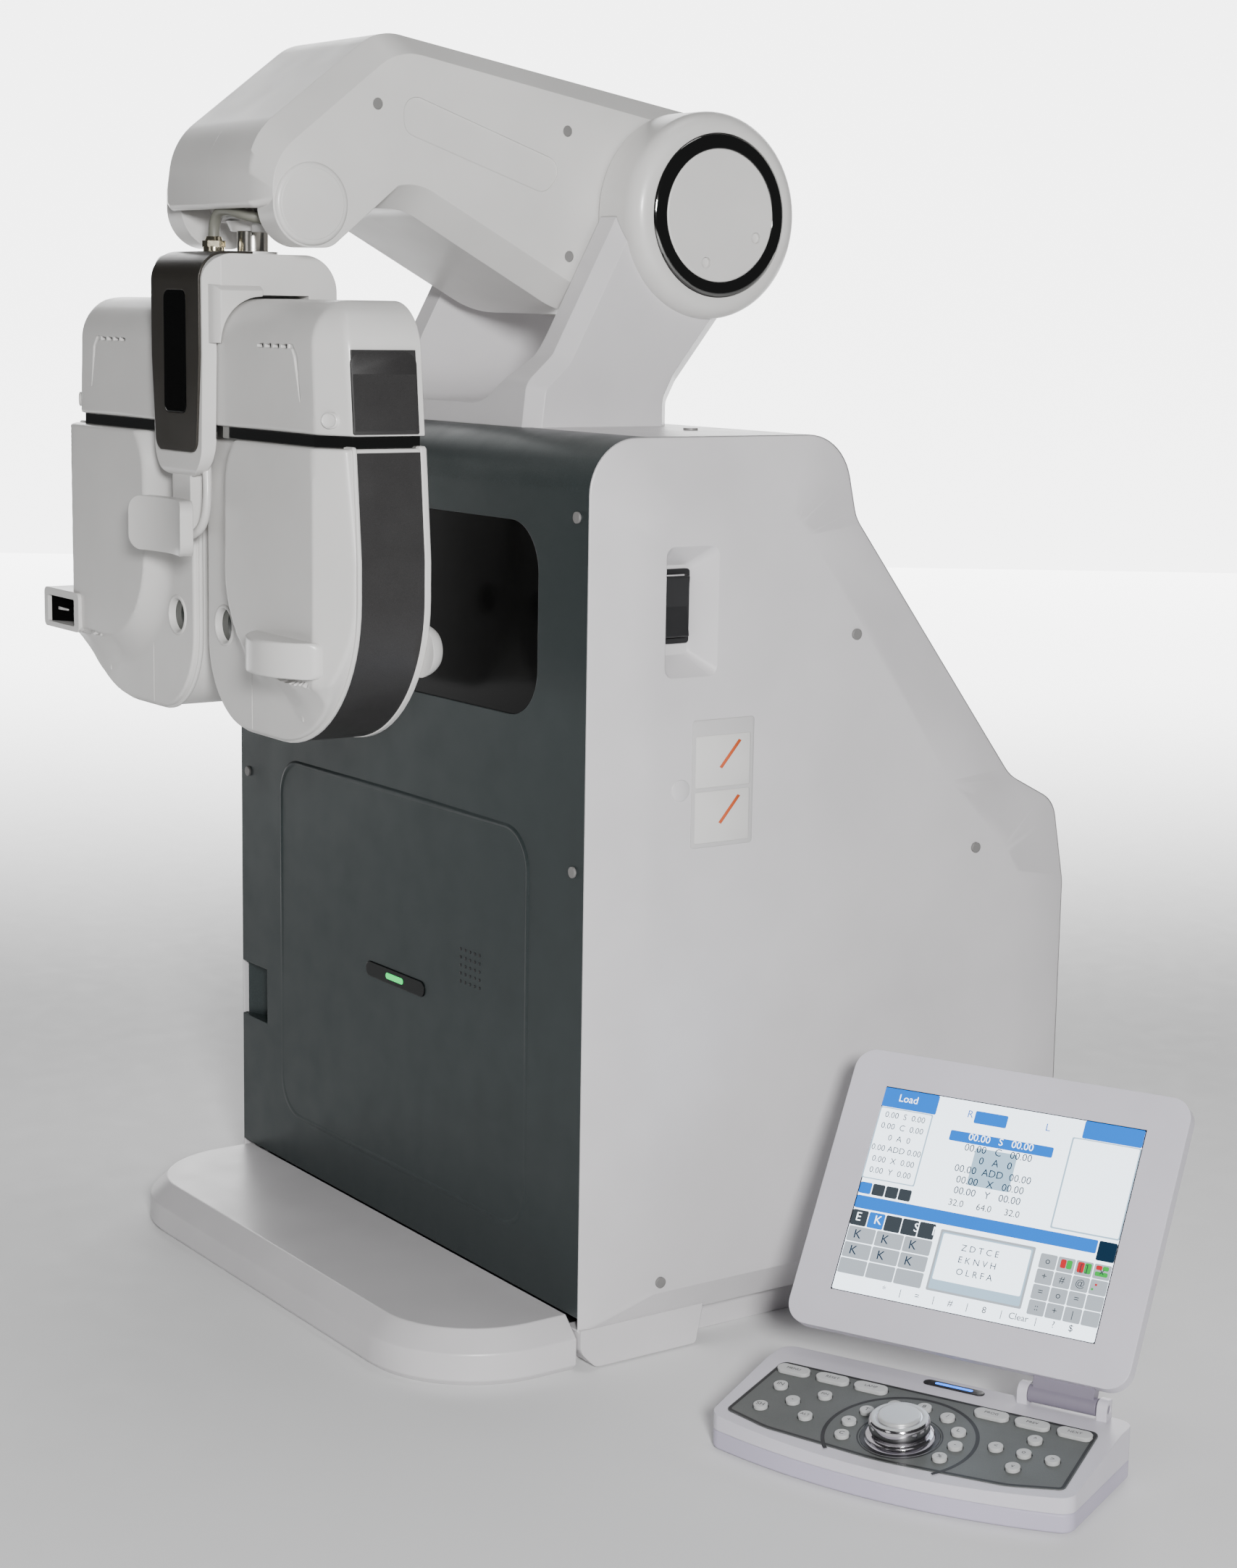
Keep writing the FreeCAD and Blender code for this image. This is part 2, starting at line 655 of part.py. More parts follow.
def lens_case(with_rest):
    body = fuse([slab_y(case_outline(), bevel_back, seam_y),
                 loft(case_outline(), in_xz(bevel_back), inset(case_outline(), 4), in_xz(case_face))])
    low, high = pad_outlines()
    pad = loft(low, in_xz(bevel_back - 1), high, in_xz(pad_face))
    bump = rod(45, V(131, -125, 423), V(131, -125, 444.5)).common(block(92, 169, -175, -135, 400, 450))
    cavity = slab_y(inset(case_outline(), wall), case_face + wall + 1, seam_y + 1)
    pad_cavity = slab_y(inset(high, 8), pad_face + wall, case_face + wall + 2)
    eye = rod(eye_radius, V(eye_x, -150, eye_z), V(eye_x, -120, eye_z))
    rim = Part.makeCone(eye_radius + 3, eye_radius, 3, V(eye_x, case_face - 0.01, eye_z), V(0, 1, 0))
    shapes = [body, pad, bump] if with_rest else [body, pad]
    return fuse(shapes).cut(cavity).cut(pad_cavity).cut(eye).cut(rim)


def lens_back(knob):
    plate = slab_y(case_outline(), seam_y, unit_back)
    hole = rod(eye_radius, V(eye_x, -100, eye_z), V(eye_x, -80, eye_z))
    axle = rod(rail_radius, V(wheel_x, -112, wheel_z), V(wheel_x, seam_y, wheel_z))
    shapes = [plate, axle]
    if knob:
        dome = Part.makeSphere(16, V(176, unit_back - 3, 438))
        shapes.append(dome.common(block(150, 200, unit_back - 0.5, unit_back + 8, 400, 470)))
    return fuse(shapes).cut(hole)


def side_band():
    upper = prism([(180.05, housing_low + 3, 0), (175.7, 607, 0), (176.9, 607, 0),
                   (181.2, housing_low + 3, 0)], in_xz(-132.5), V(0, 41, 0))
    grown = inset(case_outline(), -1.2)
    ring = slab_y(grown, -132.5, -91.5).cut(slab_y(case_outline(), -133, -91))
    ring = ring.common(block(70, 200, -140, -80, 370, case_top - 2))
    return Part.makeCompound([upper, ring])


def trim_strip():
    plan = [(34, -143, 0), (154, -143, 0), (178, -132, 0), (178, -89, 0), (34, -89, 0)]
    return slab_z(plan, case_top, housing_low)


def eye_glass():
    front = rod(eye_radius, V(eye_x, -134.5, eye_z), V(eye_x, -132.5, eye_z))
    rear = rod(eye_radius, V(eye_x, -90, eye_z), V(eye_x, -88, eye_z))
    return Part.makeCompound([front, rear])


def lens_wheel():
    disc = rod(wheel_radius, V(wheel_x, -110, wheel_z), V(wheel_x, -105, wheel_z))
    start = math.atan2(eye_z - wheel_z, eye_x - wheel_x)
    for i in range(lens_count):
        angle = start + 2 * math.pi * i / lens_count
        x = wheel_x + lens_pitch * math.cos(angle)
        z = wheel_z + lens_pitch * math.sin(angle)
        disc = disc.cut(rod(8.5, V(x, -115, z), V(x, -100, z)))
    return disc.cut(rod(rail_radius + running, V(wheel_x, -115, wheel_z), V(wheel_x, -100, wheel_z)))


def periscope_box(case):
    box = slab_y(rectangle(-205, -150, 417, 443, 4), -152, -118)
    hollow = slab_y(rectangle(-199, -157, 420.5, 438, 1.5), -153, -124)
    whole = box.cut(hollow).cut(case).cut(mirrored(side_band()))
    return max(whole.Solids, key=lambda solid: solid.Volume)


# ---------------------------------------------------------------- console
def on_console(shape):
    """From the console's own frame (front edge middle, x right, y back) to the table."""
    shape.rotate(V(0, 0, 0), V(0, 0, 1), console_yaw)
    shape.translate(V(console_x, console_y, 0))
    return shape


def keypad_plane(v):
    return console_front_high + console_slope * v


def sloped(shape, v):
    """Tilt a shape made flat at z = 0 about its own origin and set it on the keypad at v."""
    shape.rotate(V(0, 0, 0), V(1, 0, 0), math.degrees(math.atan(console_slope)))
    shape.translate(V(0, v, keypad_plane(v)))
    return shape


def console_plan(shrink):
    """Tall solid on the console's plan, whose front edge is bowed."""
    half = console_half + 2 - shrink
    a = V(-half, 2 + shrink, 0)
    b = V(0, -15 + shrink, 0)
    c = V(half, 2 + shrink, 0)
    d = V(half, console_back - shrink, 0)
    e = V(-half, console_back - shrink, 0)
    edges = [Part.Arc(a, b, c).toShape(), Part.LineSegment(c, d).toShape(),
             Part.LineSegment(d, e).toShape(), Part.LineSegment(e, a).toShape()]
    solid = Part.Face(Part.Wire(edges)).extrude(V(0, 0, 60))
    upright = [edge for edge in solid.Edges if edge.BoundBox.ZLength > 59]
    return solid.makeFillet(9 - shrink / 2, upright)


def console_body_solid(shrink):
    high = console_front_high - shrink
    side = [(-20, 1, 0), (120, 1, 0), (120, keypad_plane(72) - shrink, 0),
            (72, keypad_plane(72) - shrink, 0), (-20, high - console_slope * 20, 0)]
    return console_plan(shrink).common(slab_x(side, -150, 150))


def console_base():
    lower = console_body_solid(0).common(block(-150, 150, -30, 130, 0, 12))
    hollow = console_body_solid(wall).common(block(-150, 150, -30, 130, 4, 40))
    return on_console(lower.cut(hollow))


def console_top():
    upper = console_body_solid(0).common(block(-150, 150, -30, 130, 12, 60))
    hollow = console_body_solid(wall).common(block(-150, 150, -30, 130, 4, 60))
    recess = sloped(slab_z(keypad_outline(), -1.5, 20), 0)
    ear = slab_x([(86, 28, 0), (86, hinge_z + 5, 5), (98, hinge_z + 5, 5), (98, 28, 0)], 0, 6)
    ears = [ear.copy(), ear.copy()]
    ears[0].translate(V(hinge_ends[0] - 6.5, 0, 0))
    ears[1].translate(V(hinge_ends[1] + 0.5, 0, 0))
    ears = [e.common(block(-150, 150, 0, 94.5, 0, 60)) for e in ears]
    pin = rod(hinge_pin_radius + running, V(0, hinge_v, hinge_z), V(150, hinge_v, hinge_z))
    return on_console(fuse([upper.cut(hollow).cut(recess)] + ears).cut(pin))


def keypad_outline():
    return [(-101, 8, 4), (-72, -1, 40), (0, -6.5, 120), (72, -1, 40), (101, 8, 4), (97, 71, 5),
            (-97, 71, 5)]


def key_places():
    """Each bank's keys as (u, v, half length); a round key has half length 0."""
    pills = (36.7, 60.8, 85.6)
    left = [(-u, 62.2, 6.0) for u in pills]
    right = [(u, 62.8, 6.0) for u in pills]
    left += [(-70.5 + du, 31 + dv, 0) for du, dv in ((0, 0), (-14, 12.5), (14, 12.5), (-14, -12.5),
                                                     (14, -12.5))]
    right += [(68.6 + du, 31.8 + dv, 0) for du, dv in ((0, 0), (-16.4, 0), (16.4, 0), (0, 15.6),
                                                       (0, -15.6))]
    dial = []
    for angle in (-24, 3, 30, 60, 90, 120, 150, 177, 204):
        dial.append((32 * math.cos(math.radians(angle)), 22 + 32 * math.sin(math.radians(angle)), 0))
    return left, dial, right


def key_shape(u, v, half, radius, low, high):
    return slab_z(rectangle(u - half - radius, u + half + radius, v - radius, v + radius,
                            radius - 0.01), low, high)


def keypad_plate():
    plate = slab_z(keypad_outline(), -1.5, 0.4)
    for bank in key_places():
        for u, v, half in bank:
            plate = plate.cut(key_shape(u, v, half, 4.5, -3, 2))
    plate = plate.cut(rod(22.3, V(0, dial_v, -3), V(0, dial_v, 3)))
    return on_console(sloped(plate, 0))


def keys(bank):
    shapes = [key_shape(u, v, half, 4.1, -1.4 + key_travel, 2.4) for u, v, half in bank]
    return on_console(sloped(Part.makeCompound(shapes), 0))


def jog_dial():
    body = rod(dial_radius, V(0, dial_v, -1), V(0, dial_v, 13))
    waist = rod(dial_radius + 3, V(0, dial_v, 2), V(0, dial_v, 3.2))
    waist = waist.cut(rod(dial_radius - 1.2, V(0, dial_v, 1), V(0, dial_v, 5)))
    rim = [edge for edge in body.Edges
           if edge.BoundBox.ZMin > 12.5 and edge.BoundBox.XLength > dial_radius]
    body = body.makeFillet(2.5, rim).cut(waist)
    body = body.cut(rod(12 + 0.4, V(0, dial_v, 9), V(0, dial_v, 20)))
    return on_console(sloped(body, 0))


def dial_button():
    cap = rod(12, V(0, dial_v, 10.6), V(0, dial_v, 14.4))
    rim = [edge for edge in cap.Edges
           if edge.BoundBox.ZMin > 14 and edge.BoundBox.XLength > 12]
    return on_console(sloped(cap.makeFillet(1.2, rim), 0))


def on_screen(shape):
    """From the screen's own frame (x right, y up its face, z out of its face) to the table."""
    shape.rotate(V(0, 0, 0), V(1, 0, 0), 90 - screen_tilt)
    shape.translate(V(0, screen_v, screen_z))
    return on_console(shape)


def screen_case():
    face = rectangle(-screen_half, screen_half, 0, screen_high, 13)
    back = rectangle(-screen_half + 16, screen_half - 16, 16, screen_high - 16, 10)
    body = fuse([slab_z(face, -9, 0), loft(face, in_xy(-9), back, in_xy(-screen_thick))])
    panel = slab_z(rectangle(-panel_half, panel_half, panel_low, panel_low + panel_high, 0), -3, 1)
    hollow = slab_z(inset(back, 2), wall - screen_thick, -6)
    return on_screen(body.cut(panel).cut(hollow))


def screen_panel():
    panel = slab_z(rectangle(-panel_half, panel_half, panel_low, panel_low + panel_high, 0), -3, -0.6)
    return on_screen(panel)


def screen_hinge(case):
    """Barrel between the console's two ears, its pin, and the web up to the screen's back."""
    low, high = hinge_ends
    barrel = rod(5, V(low, hinge_v, hinge_z), V(high, hinge_v, hinge_z))
    pin = rod(hinge_pin_radius, V(low - 6, hinge_v, hinge_z), V(high + 6, hinge_v, hinge_z))
    web = slab_x([(hinge_v - 3, hinge_z, 0), (hinge_v - 1, 50, 0), (hinge_v + 8, 50, 0),
                  (hinge_v + 4, hinge_z, 0)], low + 2, high - 2)
    part = on_console(fuse([barrel, pin, web])).cut(case)
    return max(part.Solids, key=lambda solid: solid.Volume)


# ---------------------------------------------------------------- write every sub-part
def main():
    yoke = yoke_bracket()
    case = mirrored(lens_case(False))
    screen = screen_case()
    left_keys, ring_keys, right_keys = key_places()
    nodes = {
        "base_plate": base_plate(), "rubber_feet": rubber_feet(), "chassis_frame": chassis_frame(),
        "front_panel": front_panel(), "side_cover_right": side_cover_right(),
        "side_cover_left": side_cover_left(), "top_deck": top_deck(), "rear_cover": rear_cover(),
        "chart_window": chart_window(), "status_light": status_light(), "power_rocker": power_rocker(),
        "mode_switch_bezel": mode_switch_bezel(), "mode_rocker": mode_rocker(),
        "cabinet_screws": cabinet_screws(), "chart_mirror": chart_mirror(), "yoke_bracket": yoke,
        "hub_covers": hub_covers(yoke), "hub_rings": hub_rings(), "hub_caps": hub_caps(),
        "pivot_shaft": pivot_shaft(), "arm_shell_right": arm_shell_right(),
        "arm_shell_left": mirrored(arm_shell_right()), "arm_beam": arm_beam(),
        "nose_caps": nose_caps(), "arm_screws": arm_screws(), "swivel_block": swivel_block(),
        "swivel_shaft": swivel_shaft(), "bracket_body": bracket_body(),
        "bracket_fascia": bracket_fascia(), "display_window": display_window(), "pd_rail": pd_rail(),
        "cable_gland": cable_gland(), "head_cable": head_cable(), "forehead_rest": forehead_rest(),
        "periscope_box": periscope_box(case),
        "console_base": console_base(), "console_top": console_top(), "keypad_plate": keypad_plate(),
        "keys_left": keys(left_keys), "keys_dial": keys(ring_keys), "keys_right": keys(right_keys),
        "jog_dial": jog_dial(), "dial_button": dial_button(), "screen_case": screen,
        "screen_panel": screen_panel(), "screen_hinge": screen_hinge(screen),
    }
    halves = {
        "unit_housing": unit_housing(), "side_band": side_band(),
        "trim_strip": trim_strip(), "eye_glass": eye_glass(), "lens_wheel": lens_wheel(),
    }
    for name, shape in halves.items():
        nodes[name + "_right"] = shape
        nodes[name + "_left"] = mirrored(shape)
    nodes["lens_case_right"] = lens_case(True)
    nodes["lens_case_left"] = case
    nodes["lens_back_right"] = lens_back(True)
    nodes["lens_back_left"] = mirrored(lens_back(False))
    for name, shape in nodes.items():
        print(name, len(shape.Solids), shape.isValid(), round(shape.Volume / 1000, 1))
        save(name, shape)


main()
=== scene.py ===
import bmesh
import bpy
import json
import math
from mathutils import Matrix, Vector


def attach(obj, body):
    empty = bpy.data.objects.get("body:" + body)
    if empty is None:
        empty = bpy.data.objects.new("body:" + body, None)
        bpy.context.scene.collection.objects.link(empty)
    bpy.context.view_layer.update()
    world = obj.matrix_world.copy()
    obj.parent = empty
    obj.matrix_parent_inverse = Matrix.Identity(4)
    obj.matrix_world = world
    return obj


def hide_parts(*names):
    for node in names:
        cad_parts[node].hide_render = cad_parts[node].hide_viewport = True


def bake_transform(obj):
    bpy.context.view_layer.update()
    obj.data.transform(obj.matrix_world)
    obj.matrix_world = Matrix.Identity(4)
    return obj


# A digital phoropter: cabinet, lifting arm, refractor head and console.
# Millimetre sizes below are turned into metres by mm(); +X right, +Y into the cabinet, +Z up.

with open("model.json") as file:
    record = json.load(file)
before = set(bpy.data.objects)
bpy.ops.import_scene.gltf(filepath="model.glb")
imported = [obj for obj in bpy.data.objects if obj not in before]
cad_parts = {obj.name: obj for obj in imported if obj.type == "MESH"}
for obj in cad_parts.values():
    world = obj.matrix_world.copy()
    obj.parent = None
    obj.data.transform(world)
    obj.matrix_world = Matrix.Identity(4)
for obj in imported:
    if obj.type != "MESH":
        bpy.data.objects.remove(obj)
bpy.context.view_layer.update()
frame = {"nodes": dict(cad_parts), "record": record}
nodes = frame["nodes"]
body_of = {n: b for b, ns in frame["record"]["behaviour"]["bodies"].items() for n in ns}
slot_of = {s["node"]: s["material_slot"] for s in frame["record"]["subparts"]}


def mm(*values):
    return Vector([v / 1000 for v in values])


# ---------------------------------------------------------------- materials
def link(tree, source, out, target, into):
    tree.links.new(source.outputs[out], target.inputs[into])


def moulded(name, color, rough=0.45, metallic=0.0, grain=900.0, bump=0.06, mottle=0.04, edge=0.0008,
            coat=0.0, flake=0.0, edge_highlight=0.12, specular=0.5):
    """Shell material: fine grain, slow mottling, and softened edges with a painted highlight that lightens
    them a little.
    """
    mat = bpy.data.materials.new(name)
    mat.use_nodes = True
    tree = mat.node_tree
    tree.nodes.clear()
    new = tree.nodes.new
    out = new("ShaderNodeOutputMaterial")
    shader = new("ShaderNodeBsdfPrincipled")
    link(tree, shader, "BSDF", out, "Surface")
    shader.inputs["Metallic"].default_value = metallic
    shader.inputs["Coat Weight"].default_value = coat
    shader.inputs["Coat Roughness"].default_value = 0.12
    shader.inputs["Specular IOR Level"].default_value = specular
    place = new("ShaderNodeTexCoord")

    def noise(scale, detail):
        node = new("ShaderNodeTexNoise")
        node.inputs["Scale"].default_value = scale
        node.inputs["Detail"].default_value = detail
        link(tree, place, "Object", node, "Vector")
        return node

    def spread(source, low, high):
        node = new("ShaderNodeMapRange")
        node.inputs["From Min"].default_value = 0.3
        node.inputs["From Max"].default_value = 0.7
        node.inputs["To Min"].default_value = low
        node.inputs["To Max"].default_value = high
        link(tree, source, "Fac", node, "Value")
        return node

    def mix(kind, amount, first, second):
        node = new("ShaderNodeMix")
        node.data_type = "RGBA"
        node.blend_type = kind
        for socket, value in ((0, amount), (6, first), (7, second)):
            if isinstance(value, tuple) and len(value) == 2:
                tree.links.new(value[0].outputs[value[1]], node.inputs[socket])
            else:
                node.inputs[socket].default_value = value
        return node

    slow = spread(noise(14.0, 3.0), 1 - mottle, 1 + mottle)
    fine = noise(grain, 2.0)
    base = mix("MULTIPLY", 1.0, (*color, 1.0), (slow, 0))
    result = base
    if flake:
        specks = spread(noise(2600.0, 1.0), 1 - flake, 1 + flake)
        result = mix("MULTIPLY", 1.0, (result, 2), (specks, 0))
    soft = new("ShaderNodeBevel")
    soft.samples = 4
    soft.inputs["Radius"].default_value = edge
    shape = new("ShaderNodeNewGeometry")
    turn = new("ShaderNodeVectorMath")
    turn.operation = "DOT_PRODUCT"
    link(tree, soft, 0, turn, 0)
    link(tree, shape, "Normal", turn, 1)
    # Painted highlight: where the softened bevel normal turns from the true normal, the colour is mixed
    # towards a lighter tint, so every edge looks lit.
    highlight_mask = new("ShaderNodeMapRange")
    highlight_mask.inputs["From Min"].default_value = 0.97
    highlight_mask.inputs["From Max"].default_value = 0.80
    highlight_mask.inputs["To Min"].default_value = 0.0
    highlight_mask.inputs["To Max"].default_value = edge_highlight
    link(tree, turn, "Value", highlight_mask, "Value")
    highlight_tint = tuple(min(0.95, c * 1.4 + 0.04) for c in color)
    result = mix("MIX", (highlight_mask, 0), (result, 2), (*highlight_tint, 1.0))
    link(tree, result, 2, shader, "Base Color")
    dull = spread(noise(40.0, 4.0), rough * 0.88, rough * 1.12)
    link(tree, dull, 0, shader, "Roughness")
    relief = new("ShaderNodeBump")
    relief.inputs["Strength"].default_value = bump
    relief.inputs["Distance"].default_value = 0.0002
    link(tree, fine, "Fac", relief, "Height")
    link(tree, soft, 0, relief, "Normal")
    link(tree, relief, "Normal", shader, "Normal")
    return mat


def glowing(name, color, strength):
    mat = moulded(name, tuple(c * 0.12 for c in color), rough=0.3, bump=0.0, edge_highlight=0.0, specular=0.2)
    shader = mat.node_tree.nodes["Principled BSDF"]
    shader.inputs["Emission Color"].default_value = (*color, 1.0)
    shader.inputs["Emission Strength"].default_value = strength
    return mat


materials = {
    "white_shell": moulded("white_shell", (0.63, 0.62, 0.605), rough=0.36, coat=0.15),
    "white_cover": moulded("white_cover", (0.60, 0.585, 0.595), rough=0.36, grain=1400.0, specular=0.75),
    "white_casting": moulded("white_casting", (0.60, 0.585, 0.595), rough=0.36, grain=1400.0, specular=0.75),
    "graphite_panel": moulded("graphite_panel", (0.033, 0.043, 0.044), rough=0.40, metallic=0.35,
                              flake=0.28, mottle=0.03),
    "side_band_grey": moulded("side_band_grey", (0.021, 0.020, 0.020), rough=0.5, flake=0.30),
    "fascia_bronze": moulded("fascia_bronze", (0.036, 0.032, 0.027), rough=0.32, metallic=0.3,
                             flake=0.25),
    "black_glass": moulded("black_glass", (0.002, 0.002, 0.002), rough=0.12, bump=0.0, edge_highlight=0.0,
                           specular=0.12),
    "black_plastic": moulded("black_plastic", (0.012, 0.012, 0.013), rough=0.45),
    # The green rocker switch is no lamp: its emission is a painted glow that brightens it.
    "green_rocker": glowing("green_rocker", (0.01, 0.50, 0.18), 0.55),
    "status_pill": moulded("status_pill", (0.004, 0.005, 0.005), rough=0.15, specular=0.2),
    # Chromed is much darker than real chrome, so its reflections come out dark: a painted dark reflection.
    "chromed": moulded("chromed", (0.20, 0.20, 0.195), rough=0.06, metallic=1.0, bump=0.01, edge_highlight=0.0),
    "steel": moulded("steel", (0.52, 0.50, 0.46), rough=0.20, metallic=1.0, grain=500.0),
    "aluminium_frame": moulded("aluminium_frame", (0.55, 0.56, 0.57), rough=0.35, metallic=1.0),
    "mirror_face": moulded("mirror_face", (0.8, 0.8, 0.8), rough=0.03, metallic=1.0, bump=0.0),
    "screw_grey": moulded("screw_grey", (0.24, 0.235, 0.23), rough=0.45, metallic=0.3),
    "optic_glass": moulded("optic_glass", (0.010, 0.014, 0.008), rough=0.06, bump=0.0, coat=0.3),
    "foot_rubber": moulded("foot_rubber", (0.02, 0.02, 0.02), rough=0.8, bump=0.2),
    "cable_jacket": moulded("cable_jacket", (0.17, 0.17, 0.145), rough=0.42, grain=1800.0, bump=0.12),
    "brass_plated": moulded("brass_plated", (0.66, 0.60, 0.45), rough=0.16, metallic=1.0),
    "console_lilac": moulded("console_lilac", (0.61, 0.59, 0.65), rough=0.38, coat=0.1),
    "keypad_grey": moulded("keypad_grey", (0.095, 0.102, 0.098), rough=0.5, grain=1600.0, flake=0.12),
    "key_silver": moulded("key_silver", (0.50, 0.505, 0.50), rough=0.40),
    "lcd": glowing("lcd", (0.62, 0.78, 0.90), 0.8),
}
dial_black = moulded("dial_black", (0.018, 0.018, 0.02), rough=0.38, grain=2200.0, bump=0.2)
dial_silver = moulded("dial_silver", (0.60, 0.61, 0.61), rough=0.32, metallic=0.45)
dial_chrome = moulded("dial_chrome", (0.62, 0.60, 0.63), rough=0.10, metallic=1.0, bump=0.02)
sticker_orange = moulded("sticker_orange", (0.55, 0.09, 0.02), rough=0.5, bump=0.0)
ink_black = moulded("ink_black", (0.010, 0.010, 0.011), rough=0.5, bump=0.0)
groove_grey = moulded("groove_grey", (0.50, 0.49, 0.49), rough=0.5)
green_light = glowing("green_light", (0.01, 0.80, 0.16), 1.6)
blue_light = glowing("blue_light", (0.02, 0.20, 1.0), 3.0)
ink_white = moulded("ink_white", (0.62, 0.64, 0.66), rough=0.6, bump=0.0)

for name, node in nodes.items():
    node.data.materials.clear()
    node.data.materials.append(materials[slot_of[name]])
nodes["dial_button"].data.materials[0] = dial_silver


# ---------------------------------------------------------------- mesh tools
def piece(name, mesh, body, slot, material=None, stands_for=()):
    """A mesh in the row frame, as a piece that rides on a body."""
    obj = bpy.data.objects.new(name, mesh)
    bpy.context.scene.collection.objects.link(obj)
    mesh.materials.clear()
    mesh.materials.append(material or materials[slot])
    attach(obj, body)
    if stands_for:
        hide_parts(*stands_for)
    return obj


def mesh_from(name, verts, faces, smooth=True):
    mesh = bpy.data.meshes.new(name)
    mesh.from_pydata([tuple(v) for v in verts], [], faces)
    tool = bmesh.new()
    tool.from_mesh(mesh)
    bmesh.ops.remove_doubles(tool, verts=tool.verts, dist=1e-6)
    bmesh.ops.recalc_face_normals(tool, faces=tool.faces)
    tool.to_mesh(mesh)
    tool.free()
    if smooth:
        mesh.polygons.foreach_set("use_smooth", [True] * len(mesh.polygons))
        mesh.set_sharp_from_angle(angle=math.radians(38))
    mesh.update()
    return mesh


def apply(obj):
    """Bake the object's modifiers into its mesh."""
    bpy.context.view_layer.update()
    graph = bpy.context.evaluated_depsgraph_get()
    baked = bpy.data.meshes.new_from_object(obj.evaluated_get(graph))
    obj.modifiers.clear()
    obj.data = baked
    return obj


def cut(obj, cutter_mesh):
    """Take the cutter's volume out of the object's mesh."""
    cutter = bpy.data.objects.new("cutter", cutter_mesh)
    bpy.context.scene.collection.objects.link(cutter)
    dig = obj.modifiers.new("cut", "BOOLEAN")
    dig.object = cutter
    dig.solver = "EXACT"
    apply(obj)
    bpy.data.objects.remove(cutter)


def rounded(node, width, cuts=None, segments=3, sharp=28):
    """A copy of a CAD shell with every hard edge rounded, and optional pockets cut into it."""
    source = nodes[node]
    mesh = source.data.copy()
    tool = bmesh.new()
    tool.from_mesh(mesh)
    bmesh.ops.remove_doubles(tool, verts=tool.verts, dist=2e-6)
    bmesh.ops.dissolve_limit(tool, angle_limit=math.radians(0.6), verts=tool.verts, edges=tool.edges)
    tool.to_mesh(mesh)
    tool.free()
    obj = piece(node + "_cover", mesh, body_of[node], slot_of[node], None, (node,))
    if cuts:
        cut(obj, cuts)
    soft = obj.modifiers.new("round", "BEVEL")
    soft.width = width / 1000
    soft.segments = segments
    soft.limit_method = "ANGLE"
    soft.angle_limit = math.radians(sharp)
    soft.harden_normals = False
    soft.use_clamp_overlap = True
    apply(obj)
    obj.data.polygons.foreach_set("use_smooth", [True] * len(obj.data.polygons))
    obj.data.set_sharp_from_angle(angle=math.radians(40))
    even_out = obj.modifiers.new("normals", "WEIGHTED_NORMAL")
    even_out.keep_sharp = True
    even_out.weight = 90
    return apply(obj)


def round_outline(corners, step=5.0):
    """Closed outline in mm from (a, b, radius) corners, with arcs split every few degrees."""
    points = []
    count = len(corners)
    for i, (a, b, radius) in enumerate(corners):
        here = Vector((a, b))
        back = (Vector(corners[i - 1][:2]) - here).normalized()
        ahead = (Vector(corners[(i + 1) % count][:2]) - here).normalized()
        if radius <= 0:
            points.append(here)
            continue
        half = back.angle(ahead) / 2
        centre = here + (back + ahead).normalized() * (radius / math.sin(half))
        first = here + back * (radius / math.tan(half)) - centre
        last = here + ahead * (radius / math.tan(half)) - centre
        sweep = first.angle_signed(last)
        pieces = max(2, int(abs(math.degrees(sweep)) / step))
        for k in range(pieces + 1):
            turn = -sweep * k / pieces
            points.append(centre + Matrix.Rotation(turn, 2) @ first)
    return points


def even(points, spacing):
    """The closed outline with points no further apart than spacing."""
    result = []
    for i, p in enumerate(points):
        q = points[(i + 1) % len(points)]
        pieces = max(1, math.ceil((q - p).length / spacing))
        result += [p.lerp(q, k / pieces) for k in range(pieces)]
    return result


def ring_band(faces, count, rows):
    """Quads between rows of count points each."""
    for r in range(rows - 1):
        for i in range(count):
            a, b = r * count + i, r * count + (i + 1) % count
            faces.append((a, b, b + count, a + count))


def relief_block(outline, centre, front, back, edge, place, rings=60):
    """Solid with the given outline whose front is the relief front(a, b) and whose rim is rounded."""
    verts, faces = [], []
    count = len(outline)
    centre = Vector(centre)
    rows = [[(p.x, p.y, back) for p in outline]]
    for k in range(5):
        turn = math.pi / 2 * k / 4
        inward = edge * (1 - math.cos(turn))
        drop = edge * (1 - math.sin(turn))
        row = []
        for p in outline:
            q = p + (centre - p).normalized() * inward
            row.append((q.x, q.y, front(q.x, q.y) - drop))
        rows.append(row)
    for ring in range(1, rings):
        row = []
        for p in outline:
            start = p + (centre - p).normalized() * edge
            q = start.lerp(centre, ring / rings)
            row.append((q.x, q.y, front(q.x, q.y)))
        rows.append(row)
    for row in rows:
        verts += [place(*p) for p in row]
    ring_band(faces, count, len(rows))
    verts.append(place(centre.x, centre.y, front(centre.x, centre.y)))
    last = (len(rows) - 1) * count
    faces += [(last + i, last + (i + 1) % count, len(verts) - 1) for i in range(count)]
    faces.append(tuple(range(count)))
    return verts, faces


